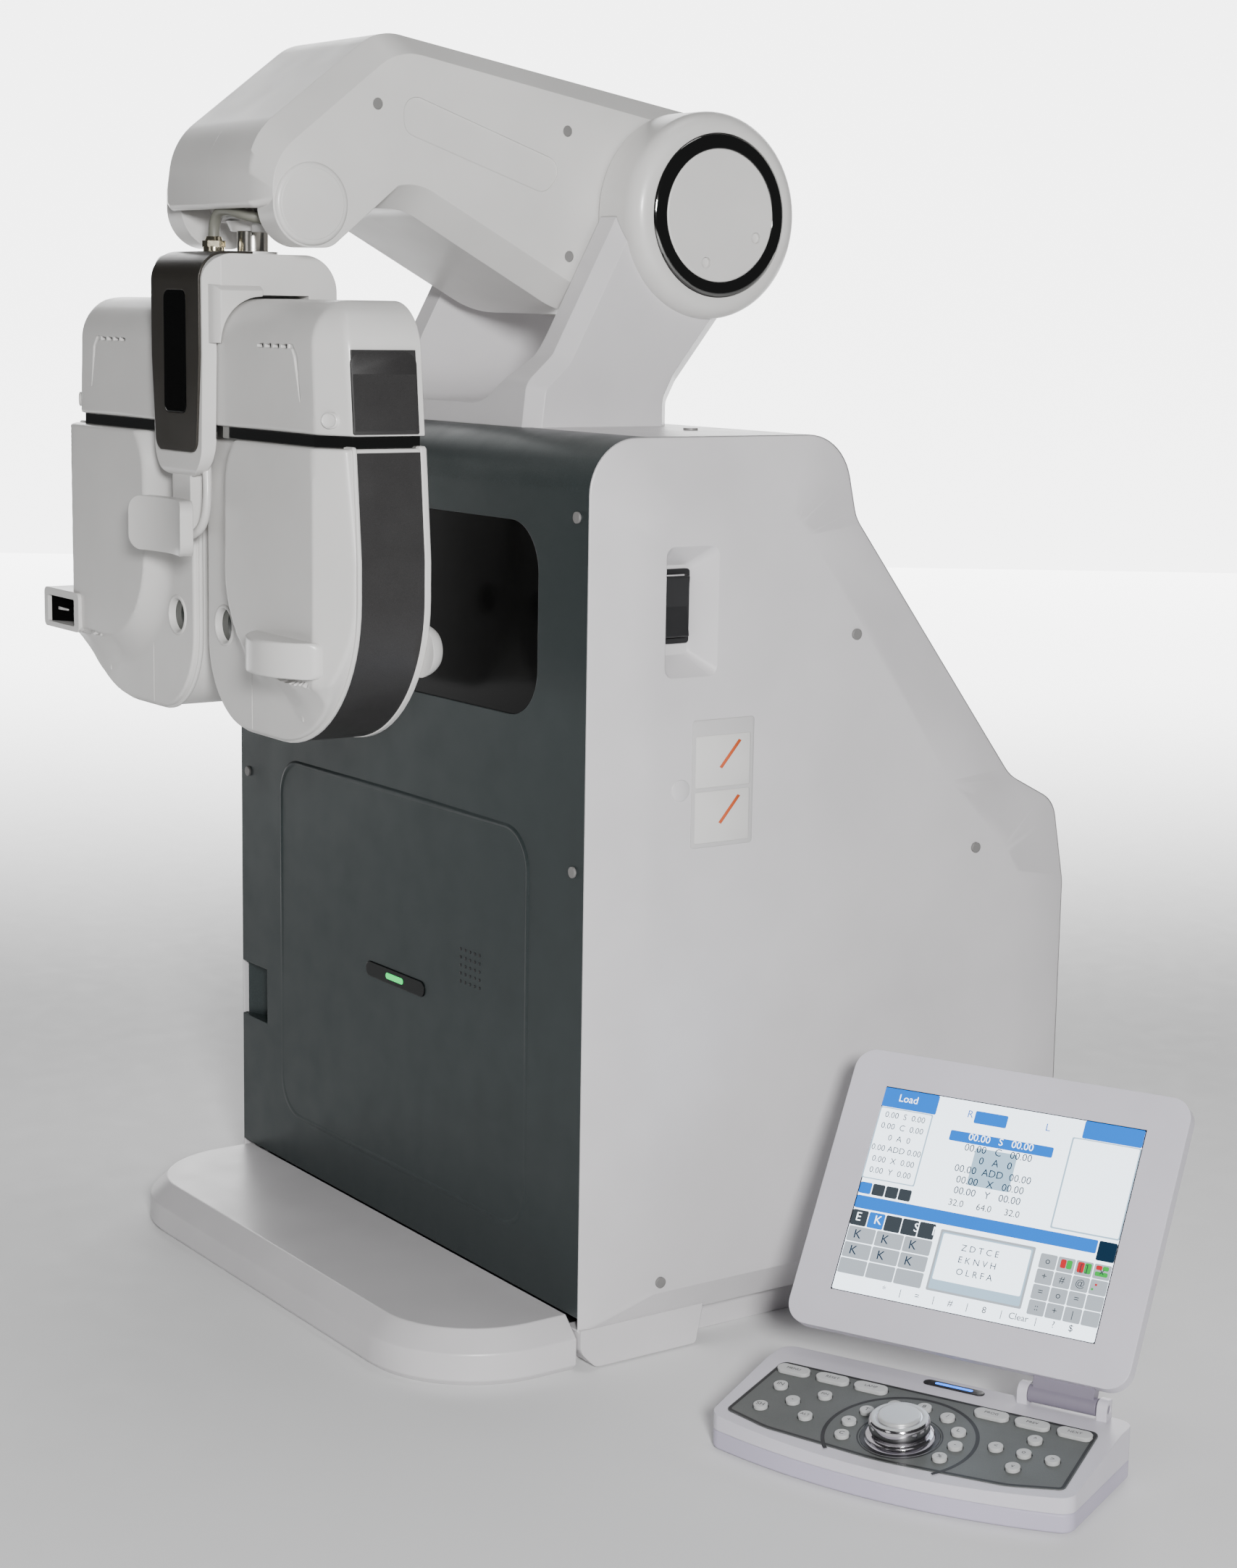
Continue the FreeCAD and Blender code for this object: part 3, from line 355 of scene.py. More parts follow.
def prism(outline, low, high, place, edge=0.0):
    """Straight solid from low to high with both rims rounded by edge."""
    centre = sum(outline, Vector((0, 0))) / len(outline)
    rows = [(low, edge), (low + edge, 0.0), (high - edge, 0.0), (high - edge * 0.3, edge * 0.3), (high, edge)]
    if not edge:
        rows = [(low, 0.0), (high, 0.0)]
    verts, faces = [], []
    for level, inward in rows:
        for p in outline:
            q = p + (centre - p).normalized() * inward
            verts.append(place(q.x, q.y, level))
    count = len(outline)
    ring_band(faces, count, len(rows))
    faces.append(tuple(range(count)))
    faces.append(tuple(range((len(rows) - 1) * count, len(rows) * count)))
    return verts, faces


def close_ring(faces, count, rows):
    """Faces from the last row of a band back to its first."""
    last = (rows - 1) * count
    faces += [(last + i, last + (i + 1) % count, (i + 1) % count, i) for i in range(count)]


def lathe(profile, place, count=64, ends=True):
    """Turned solid from (radius, height) points, closed at both ends or, without them, a ring."""
    verts, faces = [], []
    for radius, height in profile:
        for i in range(count):
            angle = 2 * math.pi * i / count
            verts.append(place(radius * math.cos(angle), radius * math.sin(angle), height))
    rows = len(profile)
    ring_band(faces, count, rows)
    if ends:
        faces.append(tuple(range(count)))
        faces.append(tuple(range((rows - 1) * count, rows * count)))
    else:
        close_ring(faces, count, rows)
    return verts, faces


def join(parts):
    verts, faces = [], []
    for v, f in parts:
        faces += [tuple(i + len(verts) for i in face) for face in f]
        verts += v
    return verts, faces


def facing_patient(side):
    """(outwards, up, towards the patient) in mm to metres, for one side of the head."""
    return lambda a, b, c: mm(side * a, -c, b)


def side_face(a, b, c):
    """(back, up, outwards) from the right side cover's face."""
    return mm(cover_face + c, a, b)


# ---------------------------------------------------------------- refractor head
def corner_distance(a, b, low_a, low_b, high_b, top_round, low_round):
    """Distance outside a region that is open towards +a, with its two inner corners rounded."""
    middle = (low_b + high_b) / 2
    radius = top_round if b > middle else low_round
    da = low_a + radius - a
    db = abs(b - middle) - (high_b - low_b) / 2 + radius
    return math.hypot(max(da, 0), max(db, 0)) + min(max(da, db), 0) - radius


case_corners = [(9.5, 380, 50), (187, 380, 88), (187, 490, 60), (181.5, 552.5, 2), (9.5, 552.5, 6)]
case_centre = (98, 470)
eye_across, eye_height = 32, 440
pad_front = 149.5
eye_front = 138.0
bevel_start = 163.0
rest_middle, rest_front, rest_radius = 131, 169.4, 45


def case_front(a, b):
    away = corner_distance(a, b, 55.5, 420, 560, 34, 58)
    scoop = min(max(away / 20, 0), 1)
    level = eye_front + (pad_front - eye_front) * (1 - scoop) ** 2
    slope = max(a - bevel_start, 0) * 0.60
    level = min(level, pad_front - slope) if away <= 0 else max(level - slope, 134.5)
    cone = 1 - math.hypot((a - 140) / 30, (b - 418) / 26)
    return level + 5 * max(cone, 0) * (b < 419)


def cheek_rest(place):
    """Curved lug low on the front of the right-hand case."""
    def front(a, b):
        off_middle = min(abs(a - rest_middle), rest_radius - 1)
        return rest_front - rest_radius + math.sqrt(rest_radius ** 2 - off_middle ** 2)
    outline = even(round_outline([(92.5, 423.4, 4), (168.5, 423.4, 4), (168.5, 444.2, 4),
                                  (92.5, 444.2, 4)]), 2.0)
    bump = relief_block(outline, (rest_middle, 434), front, 131.0, 2.2, place, 16)
    piece("cheek_rest", mesh_from("cheek_rest", *bump), "unit_right", "white_shell")


def lens_case(side, tag):
    place = facing_patient(side)
    outline = even(round_outline(case_corners), 3.0)
    verts, faces = relief_block(outline, case_centre, case_front, 92.0, 2.0, place, 75)
    shell = piece("lens_case_shell_" + tag, mesh_from("lens_case", verts, faces), "unit_" + tag,
                  "white_shell", None, ("lens_case_" + tag,))

    def about_eye(x, y, z):
        return place(eye_across + x, eye_height + y, z)
    drill = lathe([(10.6, 80), (10.6, 134), (10.8, 136.6), (12.2, 138.4), (12.6, 150)], about_eye)
    cut(shell, mesh_from("drill", *drill, smooth=False))
    shell.data.set_sharp_from_angle(angle=math.radians(38))

    rim = lathe([(10.0, 131), (10.0, 137.2), (10.5, 138.6), (11.4, 139.0), (12.4, 138.6), (12.7, 137.0),
                 (12.7, 131)], about_eye, ends=False)
    piece("eye_rim_" + tag, mesh_from("eye_rim", *rim), "unit_" + tag, "white_shell")
    lens = lathe([(10.2, 128.0), (10.2, 128.6), (7.0, 129.8), (3.5, 130.6), (0.4, 130.9)], about_eye)
    piece("eye_lens_" + tag, mesh_from("eye_lens", *lens), "unit_" + tag, "optic_glass")

    if side > 0:
        cheek_rest(place)

    crease = [Vector((66.6, 381.5)), Vector((67.4, 381.5)), Vector((67.4, 436)), Vector((66.6, 436))]
    crease = prism(crease, 137.4, 138.25, place)
    piece("crease_" + tag, mesh_from("crease", *crease), "unit_" + tag, "white_shell")
    mark = lathe([(3.0, 136), (3.0, 138.2), (2.4, 138.8), (0.5, 138.9)],
                 lambda x, y, z: place(131 + x * 0.6, 397 + y, z))
    piece("centre_mark_" + tag, mesh_from("centre_mark", *mark), "unit_" + tag, "white_shell")

    case_rims(outline, place, tag)


def case_rims(outline, place, tag):
    """Two raised rings round the case, one at the seam of its front and one at its back."""
    centre = Vector(case_centre)
    beads = []
    for back_at, front_at in ((131.8, 134.6), (87.2, 91.6)):
        profile = [(-1.2, back_at), (1.0, back_at), (1.8, back_at + 0.8), (1.8, front_at - 0.8),
                   (1.0, front_at), (-1.2, front_at)]
        verts, faces = [], []
        for grown, level in profile:
            for p in outline:
                q = p + (p - centre).normalized() * grown
                verts.append(place(q.x, q.y, level))
        ring_band(faces, len(outline), len(profile))
        close_ring(faces, len(outline), len(profile))
        beads.append((verts, faces))
    piece("case_rims_" + tag, mesh_from("case_rims", *join(beads)), "unit_" + tag, "white_shell")


housing_foot, housing_top, housing_curve = 559.5, 634, 26.0
housing_corners = [(30, housing_foot, 1), (180, housing_foot, 1), (173, housing_top, 30),
                   (30, housing_top, 1)]
vent_starts = (89, 98.5, 108, 117.5)


def housing_front(a, b):
    high = max(b - (housing_top - housing_curve), 0)
    level = 144.5 - housing_curve + math.sqrt(max(housing_curve ** 2 - high ** 2, 0))
    edge = 157 - (b - housing_foot) * 0.06
    return level - max(a - edge, 0) * 0.52


def unit_housing(side, tag):
    place = facing_patient(side)
    outline = even(round_outline(housing_corners), 3.0)
    verts, faces = relief_block(outline, (104, 594), housing_front, 87.0, 2.5, place, 50)
    shell = piece("unit_housing_shell_" + tag, mesh_from("unit_housing", verts, faces), "unit_" + tag,
                  "white_shell", None, ("unit_housing_" + tag,))
    slots = [prism(round_outline([(x, 606.6, 0.7), (x + 7.4, 606.4, 0.7), (x + 7.4, 609.2, 0.7),
                                  (x, 608.6, 0.7)]), 138, 148, place) for x in vent_starts]
    taper = [(126.5, 609.4, 0.5), (131.5, 609.0, 2), (136.6, 603.0, 3), (140.4, 577, 0.2), (139.6, 577, 0.2),
             (132.6, 602.0, 3), (129.5, 606.4, 2), (126.5, 606.6, 0.5)]
    slots.append(prism(round_outline(taper), 143.4, 148, place))
    cut(shell, mesh_from("slots", *join(slots), smooth=False))
    shell.data.set_sharp_from_angle(angle=math.radians(38))
    # Black floors sunk into the vent slots are painted shade, standing in for the dark inside the slots.
    floor = [prism(round_outline([(x + 0.2, 606.8, 0.5), (x + 7.2, 606.6, 0.5), (x + 7.2, 609.0, 0.5),
                                  (x + 0.2, 608.4, 0.5)]), 137, 141.5, place) for x in vent_starts]
    piece("vent_slot_shade_" + tag, mesh_from("vent_slot_shade", *join(floor)), "unit_" + tag, "black_plastic")
    for z, tip in ((568, 140.6), (541, 144.4)):
        cap = lathe([(4.6, -3), (4.6, 0.2), (4.0, 0.7), (3.4, -0.2), (0.4, -0.5)],
                    lambda x, y, c: place(167 + x, z + y, tip + c - x * 0.58))
        piece("bevel_plug_%s_%d" % (tag, z), mesh_from("bevel_plug", *cap), "unit_" + tag, "white_shell")


def upper_band(side, tag):
    """Dark inlay on the outer wall of the upper housing, with rounded top corners."""
    outline = round_outline([(-133, 560.5, 1), (-91, 560.5, 1), (-91, 606, 7), (-133, 606, 7)])

    def place(a, b, c):
        return mm(side * (180.3 - (b - housing_foot) * 0.094 + c), a, b)
    inlay = prism(even(outline, 4), -0.6, 1.1, place, 0.4)
    piece("upper_band_" + tag, mesh_from("upper_band", *inlay), "unit_" + tag, "side_band_grey")


for side, tag in ((1, "right"), (-1, "left")):
    lens_case(side, tag)
    unit_housing(side, tag)
    upper_band(side, tag)

rounded("bracket_body", 5.0, segments=4)


def bracket_saddle():
    """Fills the bracket's square mouth down to a hair above the housings' rounded shoulders."""
    curve = 27.3
    arc = []
    for degrees in range(0, 91, 6):
        turn = math.radians(degrees)
        arc.append(Vector((-(144.5 - housing_curve + curve * math.cos(turn)), 608 + curve * math.sin(turn))))
    outline = [Vector((-149, 608))] + arc + [Vector((-118, 642)), Vector((-149, 642))]
    rows = []
    for x, flare in ((-46, 3.4), (-43, 1.2), (-40, 0.3), (-36, 0), (36, 0), (40, 0.3), (43, 1.2), (46, 3.4)):
        rows.append([mm(x, p.x + (flare if p.x < -148 else 0), p.y - (flare if p.y > 640 else 0))
                     for p in outline])
    verts = [v for row in rows for v in row]
    faces = []
    count = len(outline)
    ring_band(faces, count, len(rows))
    faces += [tuple(range(count)), tuple(range(len(verts) - count, len(verts)))]
    piece("bracket_saddle", mesh_from("bracket_saddle", verts, faces), "head", "white_shell")


bracket_saddle()
rounded("bracket_fascia", 0.8)
glass_outline = round_outline([(-14.6, 566.2, 5), (14.6, 566.2, 5), (14.6, 638.3, 5), (-14.6, 638.3, 5)])
front_glass = prism(even(glass_outline, 2), 0.0, 1.3, lambda a, b, c: mm(a, -152.4 - c, b), 0.3)
piece("front_glass", mesh_from("front_glass", *front_glass, smooth=False), "head", "black_glass", None,
      ("display_window",))
rounded("periscope_box", 1.2)
inside = prism([Vector((-198.7, -149.5)), Vector((-197.2, -150.0)), Vector((-160, -125.2)),
                Vector((-161, -124.4))], 420.8, 437.7, mm)
piece("periscope_mirror", mesh_from("periscope_mirror", *inside, smooth=False), "unit_left", "optic_glass",
      materials["black_glass"])
needle = prism([Vector((-189, 428.6)), Vector((-174, 429.2)), Vector((-174, 430.2)), Vector((-189, 430.6))],
               148.0, 149.0, lambda a, b, c: mm(a, -c, b), 0.2)
piece("periscope_needle", mesh_from("periscope_needle", *needle), "unit_left", "white_shell")
rounded("forehead_rest", 1.2)
rounded("swivel_block", 1.5)


def wire(name, points, radius, around, along):
    """Round wire through the points, as a curve that meets its first and last."""
    curve = bpy.data.curves.new(name, "CURVE")
    curve.dimensions = "3D"
    curve.bevel_depth = radius / 1000
    curve.bevel_resolution = around
    curve.resolution_u = along
    line = curve.splines.new("NURBS")
    line.points.add(len(points) - 1)
    for point, place in zip(line.points, points):
        point.co = (*mm(*place), 1)
    line.order_u = 3
    line.use_endpoint_u = True
    obj = bpy.data.objects.new(name, curve)
    bpy.context.scene.collection.objects.link(obj)
    return obj


def rest_loop():
    """Bent wire that carries the forehead plate, from the bracket down to the plate's back."""
    points = [(22, -144, 536), (26, -145, 515), (22, -147, 498), (9, -149, 492), (-9, -149, 492)]
    obj = wire("rest_loop", points, 2.8, 5, 16)
    obj.data.materials.append(materials["white_shell"])
    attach(obj, "head")


def head_cable():
    """Cable from the gland on the head to the lug on the swivel block, bent along its joints."""
    points = [(-6, -124, 667), (-6, -124, 674), (-4.2, -124, 680), (0.2, -123.8, 684.4),
              (6.6, -123.4, 685.9), (14.5, -123, 685.6), (23, -122, 684.2), (30, -118.5, 682.3),
              (34.3, -110, 680.5)]
    source = wire("head_cable_source", points, 3.5, 8, 24)
    source.data.use_fill_caps = True
    bpy.context.view_layer.update()
    graph = bpy.context.evaluated_depsgraph_get()
    mesh = bpy.data.meshes.new_from_object(source.evaluated_get(graph))
    bpy.data.objects.remove(source)
    mesh.polygons.foreach_set("use_smooth", [True] * len(mesh.polygons))
    mesh.materials.clear()
    mesh.materials.append(materials["cable_jacket"])
    obj = bpy.data.objects.new("head_cable_jacket", mesh)
    bpy.context.scene.collection.objects.link(obj)
    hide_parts("head_cable")
    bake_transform(obj)


rest_loop()
head_cable()

# ---------------------------------------------------------------- arm
arm_half_width = 70

for node in ("arm_shell_right", "arm_shell_left"):
    side = 1 if node.endswith("right") else -1
    pocket_corners = [(-36.5, 757, 9), (-36.5, 733, 9), (64, 700.5, 9), (80, 718.5, 9)]
    pocket = prism(even(round_outline(pocket_corners), 3), -1.0, 4.0,
                   lambda a, b, c: mm(side * (arm_half_width + c), a, b))
    rounded(node, 3.0, mesh_from("arm_pocket", *pocket, smooth=False))


def nose_disc(side):
    profile = [(24.0, -1.0), (24.0, 0.6), (23.0, 1.9), (21.4, 2.4), (19.6, 2.0), (18.9, 0.9), (18.4, 0.9),
               (17.8, 1.7), (16.8, 2.1), (8.0, 2.2), (0.5, 2.2)]
    turned = lathe(profile, lambda x, y, c: mm(side * (arm_half_width + c), -99 + x, 689 + y))
    tag = "right" if side > 0 else "left"
    piece("nose_disc_" + tag, mesh_from("nose_disc", *turned), "arm", "white_shell")


for side in (1, -1):
    nose_disc(side)

# ---------------------------------------------------------------- cabinet
cover_face = 229
deck_top = 559

rounded("yoke_bracket", 5.0, segments=4)
for node, width in (("side_cover_right", 2.2), ("side_cover_left", 2.2), ("base_plate", 2.0),
                    ("front_panel", 0.7), ("top_deck", 0.6), ("rear_cover", 0.6)):
    rounded(node, width)


def panel_emboss():
    """Shallow raised line round the lower panel, strongest along the top and fading down the sides."""
    outline = even(round_outline([(-157, 70, 25), (157, 70, 25), (157, 321, 25), (-157, 321, 25)]), 4)
    count = len(outline)
    centre = Vector((0, 195))
    profile = [(-2.2, 0.02), (-1.0, 0.5), (0.0, 0.8), (1.0, 0.5), (2.2, 0.02)]
    verts, faces = [], []
    for offset, rise in profile:
        for p in outline:
            strength = min(max((p.y - 150) / 120, 0.0), 1.0)
            strength = max(strength, min(max((110 - p.y) / 40, 0.0), 1.0) * 0.35, 0.06)
            q = p + (p - centre).normalized() * offset
            verts.append(mm(q.x, -rise * strength, q.y))
    ring_band(faces, count, len(profile))
    piece("panel_emboss", mesh_from("panel_emboss", verts, faces), "cabinet", "graphite_panel")


panel_emboss()


def speaker_holes():
    holes = [lathe([(1.0, 0.0), (1.0, 0.25), (0.7, 0.3)], lambda x, y, c, i=i, j=j:
                   mm(81 + i * 5.6 + x, -c, 213 + j * 5.2 + y), 12) for i in range(5) for j in range(5)]
    piece("speaker_holes", mesh_from("speaker_holes", *join(holes)), "cabinet", "black_plastic")


speaker_holes()

light_outline = round_outline([(-11, 195.6, 1.9), (11, 195.6, 1.9), (11, 199.6, 1.9), (-11, 199.6, 1.9)])
light = prism(even(light_outline, 2), 0.7, 1.1, lambda a, b, c: mm(a, -c, b))
piece("status_glow", mesh_from("status_glow", *light), "cabinet", "status_pill", green_light)


def side_marks():
    """Lock plug and blank two-card plate on the right side cover."""
    disc = lathe([(6.5, -0.5), (6.5, 0.3), (6.0, 0.6), (0.4, 0.6)],
                 lambda x, y, c: side_face(60 + x, 352 + y, c))
    piece("lock_plug", mesh_from("lock_plug", *disc), "cabinet", "white_casting")
    plate = prism(round_outline([(68, 316, 2), (113.5, 316, 2), (113.5, 393, 2), (68, 393, 2)]), -0.2, 0.5,
                  side_face, 0.2)
    piece("blank_plate", mesh_from("blank_plate", *plate), "cabinet", "white_shell", groove_grey)
    for i, low in enumerate((318.5, 352)):
        high = low + 31.5
        card = prism(round_outline([(70.5, low, 1.5), (111, low, 1.5), (111, high, 1.5), (70.5, high, 1.5)]),
                     0.3, 0.62, side_face, 0.05)
        piece("plate_card_%d" % i, mesh_from("plate_card", *card), "cabinet", "white_shell")
        bar = prism([Vector((88, low + 12)), Vector((90, low + 11)), Vector((104, low + 27)),
                     Vector((102, low + 28))], 0.5, 0.72, side_face, 0.05)
        piece("plate_bar_%d" % i, mesh_from("plate_bar", *bar), "cabinet", "white_shell", sticker_orange)


def leg_caps():
    """Four caps on the deck, over the bolts of the arm's bracket."""
    for x in (-84, 84):
        for y in (52, 126):
            cap = lathe([(7, -0.5), (7, 1.6), (6, 2.4), (0.4, 2.6)],
                        lambda a, b, c: mm(x + a, y + b, deck_top + c))
            piece("leg_cap_%d_%d" % (x + 100, y), mesh_from("leg_cap", *cap), "cabinet", "white_casting")


side_marks()
leg_caps()

# ---------------------------------------------------------------- console
yaw = math.radians(24.8)
dial_up = 21.5
console_turn = Matrix.Translation(mm(450, 43.5, 0)) @ Matrix.Rotation(yaw, 4, "Z")
keypad_turn = console_turn @ Matrix.Translation(mm(0, 0, 21)) @ Matrix.Rotation(math.atan(0.138), 4, "X")
screen_turn = (console_turn @ Matrix.Translation(mm(0, 85, 50.5))
               @ Matrix.Rotation(math.radians(90 - 33.4), 4, "X"))


def on_keypad(a, b, c):
    return keypad_turn @ mm(a, b, c)


def on_screen(a, b, c):
    return screen_turn @ mm(a, b, c)


base_lilac = moulded("base_lilac", (0.47, 0.44, 0.55), rough=0.42)
rounded("console_base", 2.0).data.materials[0] = base_lilac
# The hinge gets a darkened copy of the console lilac: painted shade for the shadow under the screen.
nodes["screen_hinge"].data.materials[0] = moulded("hinge_lilac_shaded", (0.20, 0.18, 0.23), rough=0.4)
rounded("console_top", 2.0)
rounded("keypad_plate", 0.3)
rounded("screen_case", 3.5, segments=4)
for node in ("keys_left", "keys_dial", "keys_right"):
    rounded(node, 0.6)


def dial():
    body = lathe([(16.8, -0.8), (16.8, 1.6), (18.2, 2.1), (18.9, 2.6), (18.2, 3.1), (16.6, 3.3), (16.4, 4.4),
                  (16.9, 5.6), (17.0, 10.6), (16.7, 11.9), (15.9, 12.7)],
                 lambda x, y, c: on_keypad(x, dial_up + y, c), 96)
    piece("jog_dial_grip", mesh_from("jog_dial_grip", *body), "dial", "key_silver", dial_chrome,
          ("jog_dial",))
    top = lathe([(15.95, 12.5), (15.9, 12.75), (15.0, 12.95), (13.2, 13.0), (12.5, 12.6), (12.4, 9.2),
                 (0.5, 9.1)], lambda x, y, c: on_keypad(x, dial_up + y, c), 96)
    piece("jog_dial_top", mesh_from("jog_dial_top", *top), "dial", "key_silver", dial_silver)


def text_mesh(words, size, align):
    curve = bpy.data.curves.new("words", "FONT")
    curve.body = words
    curve.size = size / 1000
    curve.extrude = 0.00002
    curve.align_x = align
    curve.resolution_u = 3
    holder = bpy.data.objects.new("words", curve)
    bpy.context.scene.collection.objects.link(holder)
    bpy.context.view_layer.update()
    mesh = bpy.data.meshes.new_from_object(holder.evaluated_get(bpy.context.evaluated_depsgraph_get()))
    bpy.data.objects.remove(holder)
    return mesh


def arc_line(radius, width, start, end, level, material, name):
    """Printed arc on the keypad about the dial's centre."""
    verts, faces = [], []
    steps = 80
    for k in range(steps + 1):
        angle = math.radians(start + (end - start) * k / steps)
        for r in (radius - width / 2, radius + width / 2):
            verts.append(on_keypad(r * math.cos(angle), dial_up + r * math.sin(angle), level))
    for k in range(steps):
        faces.append((2 * k, 2 * k + 1, 2 * k + 3, 2 * k + 2))
    piece(name, mesh_from(name, verts, faces), "console", "keypad_grey", material)


dial()
arc_line(42.4, 2.2, -42, 222, 0.47, ink_black, "dial_outer_line")
arc_line(20.8, 2.6, 0, 360, 0.47, dial_black, "dial_well")
arc_line(23.4, 0.9, 0, 360, 0.47, ink_black, "dial_well_line")


def keypad_border():
    """Black line printed just inside the edge of the keypad plate."""
    corners = [(-101, 8, 4), (-72, -1, 40), (0, -6.5, 120), (72, -1, 40), (101, 8, 4), (97, 71, 5),
               (-97, 71, 5)]
    outline = even(round_outline(corners), 3)
    count = len(outline)
    verts, faces = [], []
    for inset in (0.5, 2.2):
        for i, p in enumerate(outline):
            along = (outline[(i + 1) % count] - outline[i - 1]).normalized()
            q = p + Vector((-along.y, along.x)) * inset
            verts.append(on_keypad(q.x, q.y, 0.46))
    ring_band(faces, count, 2)
    piece("keypad_border", mesh_from("keypad_border", verts, faces), "console", "keypad_grey", ink_black)


def key_marks():
    """Generic function marks printed on the keys."""
    banks = {
        "left_key_bank": [(-36.7, 62.2, "LAMP"), (-60.8, 62.2, "RESET"), (-85.6, 62.2, "MENU"),
                          (-70.5, 31, "-"), (-84.5, 43.5, "IN"), (-56.5, 43.5, "FIN"),
                          (-84.5, 18.5, "SH"), (-56.5, 18.5, "ALT")],
        "right_key_bank": [(36.7, 62.8, "PROG"), (60.8, 62.8, "PREV"), (85.6, 62.8, "NEXT"),
                           (68.6, 31.8, "o"), (52.2, 31.8, "<"), (85.0, 31.8, ">"),
                           (68.6, 47.4, "^"), (68.6, 16.2, "v")],
        "dial_key_bank": [],
    }
    for angle, mark in zip((-24, 3, 30, 60, 90, 120, 150, 177, 204), "%-L/8RT+C"):
        turned = math.radians(angle)
        banks["dial_key_bank"].append((32 * math.cos(turned), 22 + 32 * math.sin(turned), mark))
    for body, marks in banks.items():
        for i, (u, v, words) in enumerate(marks):
            size = 3.2 if len(words) > 2 else 4.4
            mesh = text_mesh(words, size, "CENTER")
            mesh.transform(keypad_turn @ Matrix.Translation(mm(u, v - size * 0.3, 2.41)))
            piece("%s_mark_%d" % (body, i), mesh, body, "key_silver", ink_black)


keypad_border()
key_marks()


def led_strip():
    def on_base(a, b, c):
        return console_turn @ mm(a, b, c)
    pill_outline = round_outline([(-15, 82.7, 3.2), (22, 82.7, 3.2), (22, 89.7, 3.2), (-15, 89.7, 3.2)])
    pill = prism(even(pill_outline, 2), 30.6, 31.6, on_base, 0.3)
    piece("console_pill", mesh_from("console_pill", *pill), "console", "black_plastic")
    bar_outline = round_outline([(-8, 84.9, 1.2), (15, 84.9, 1.2), (15, 87.5, 1.2), (-8, 87.5, 1.2)])
    bar = prism(even(bar_outline, 2), 31.5, 31.8, on_base, 0.1)
    piece("console_pill_light", mesh_from("console_pill_light", *bar), "console", "lcd", blue_light)


led_strip()


ui = {
    "blue": glowing("ui_blue", (0.004, 0.22, 0.95), 1.2),
    "pale": glowing("ui_pale", (0.45, 0.66, 0.84), 1.5),
    "paper": glowing("ui_paper", (0.80, 0.89, 0.98), 3.6),
    "navy": glowing("ui_navy", (0.010, 0.035, 0.075), 1.0),
    "dark": glowing("ui_dark", (0.06, 0.075, 0.09), 1.0),
    "grey": glowing("ui_grey", (0.42, 0.47, 0.52), 1.5),
    "red": glowing("ui_red", (0.80, 0.03, 0.04), 1.0),
    "green": glowing("ui_green", (0.03, 0.62, 0.08), 1.0),
}


display_wide, display_high, display_top = 163, 126.4, 149.7


def on_display(left, top):
    """Shares of the display, from its upper left corner, to millimetres on the screen."""
    return (left - 0.5) * display_wide, display_top - top * display_high


def tiles(name, tint, boxes, level):
    """Flat rounded tiles on the display; boxes are (left, top, right, bottom) as shares of it."""
    parts = []
    for left, top, right, bottom in boxes:
        x0, high = on_display(left, top)
        x1, low = on_display(right, bottom)
        edge = min(0.9, (x1 - x0) / 3, (high - low) / 3)
        outline = round_outline([(x0, low, edge), (x1, low, edge), (x1, high, edge), (x0, high, edge)], 20)
        parts.append(prism(outline, -0.6, level, on_screen))
    piece(name, mesh_from(name, *join(parts), smooth=False), "screen", "lcd", ui[tint])


def label(name, words, left, top, size, tint, align="LEFT"):
    """Generic numerals and letters; left and top are shares of the display."""
    mesh = text_mesh(words, size, align)
    x, y = on_display(left, top)
    mesh.transform(screen_turn @ Matrix.Translation(mm(x, y - size * 0.75, -0.22)))
    piece(name, mesh, "screen", "lcd", ui[tint])


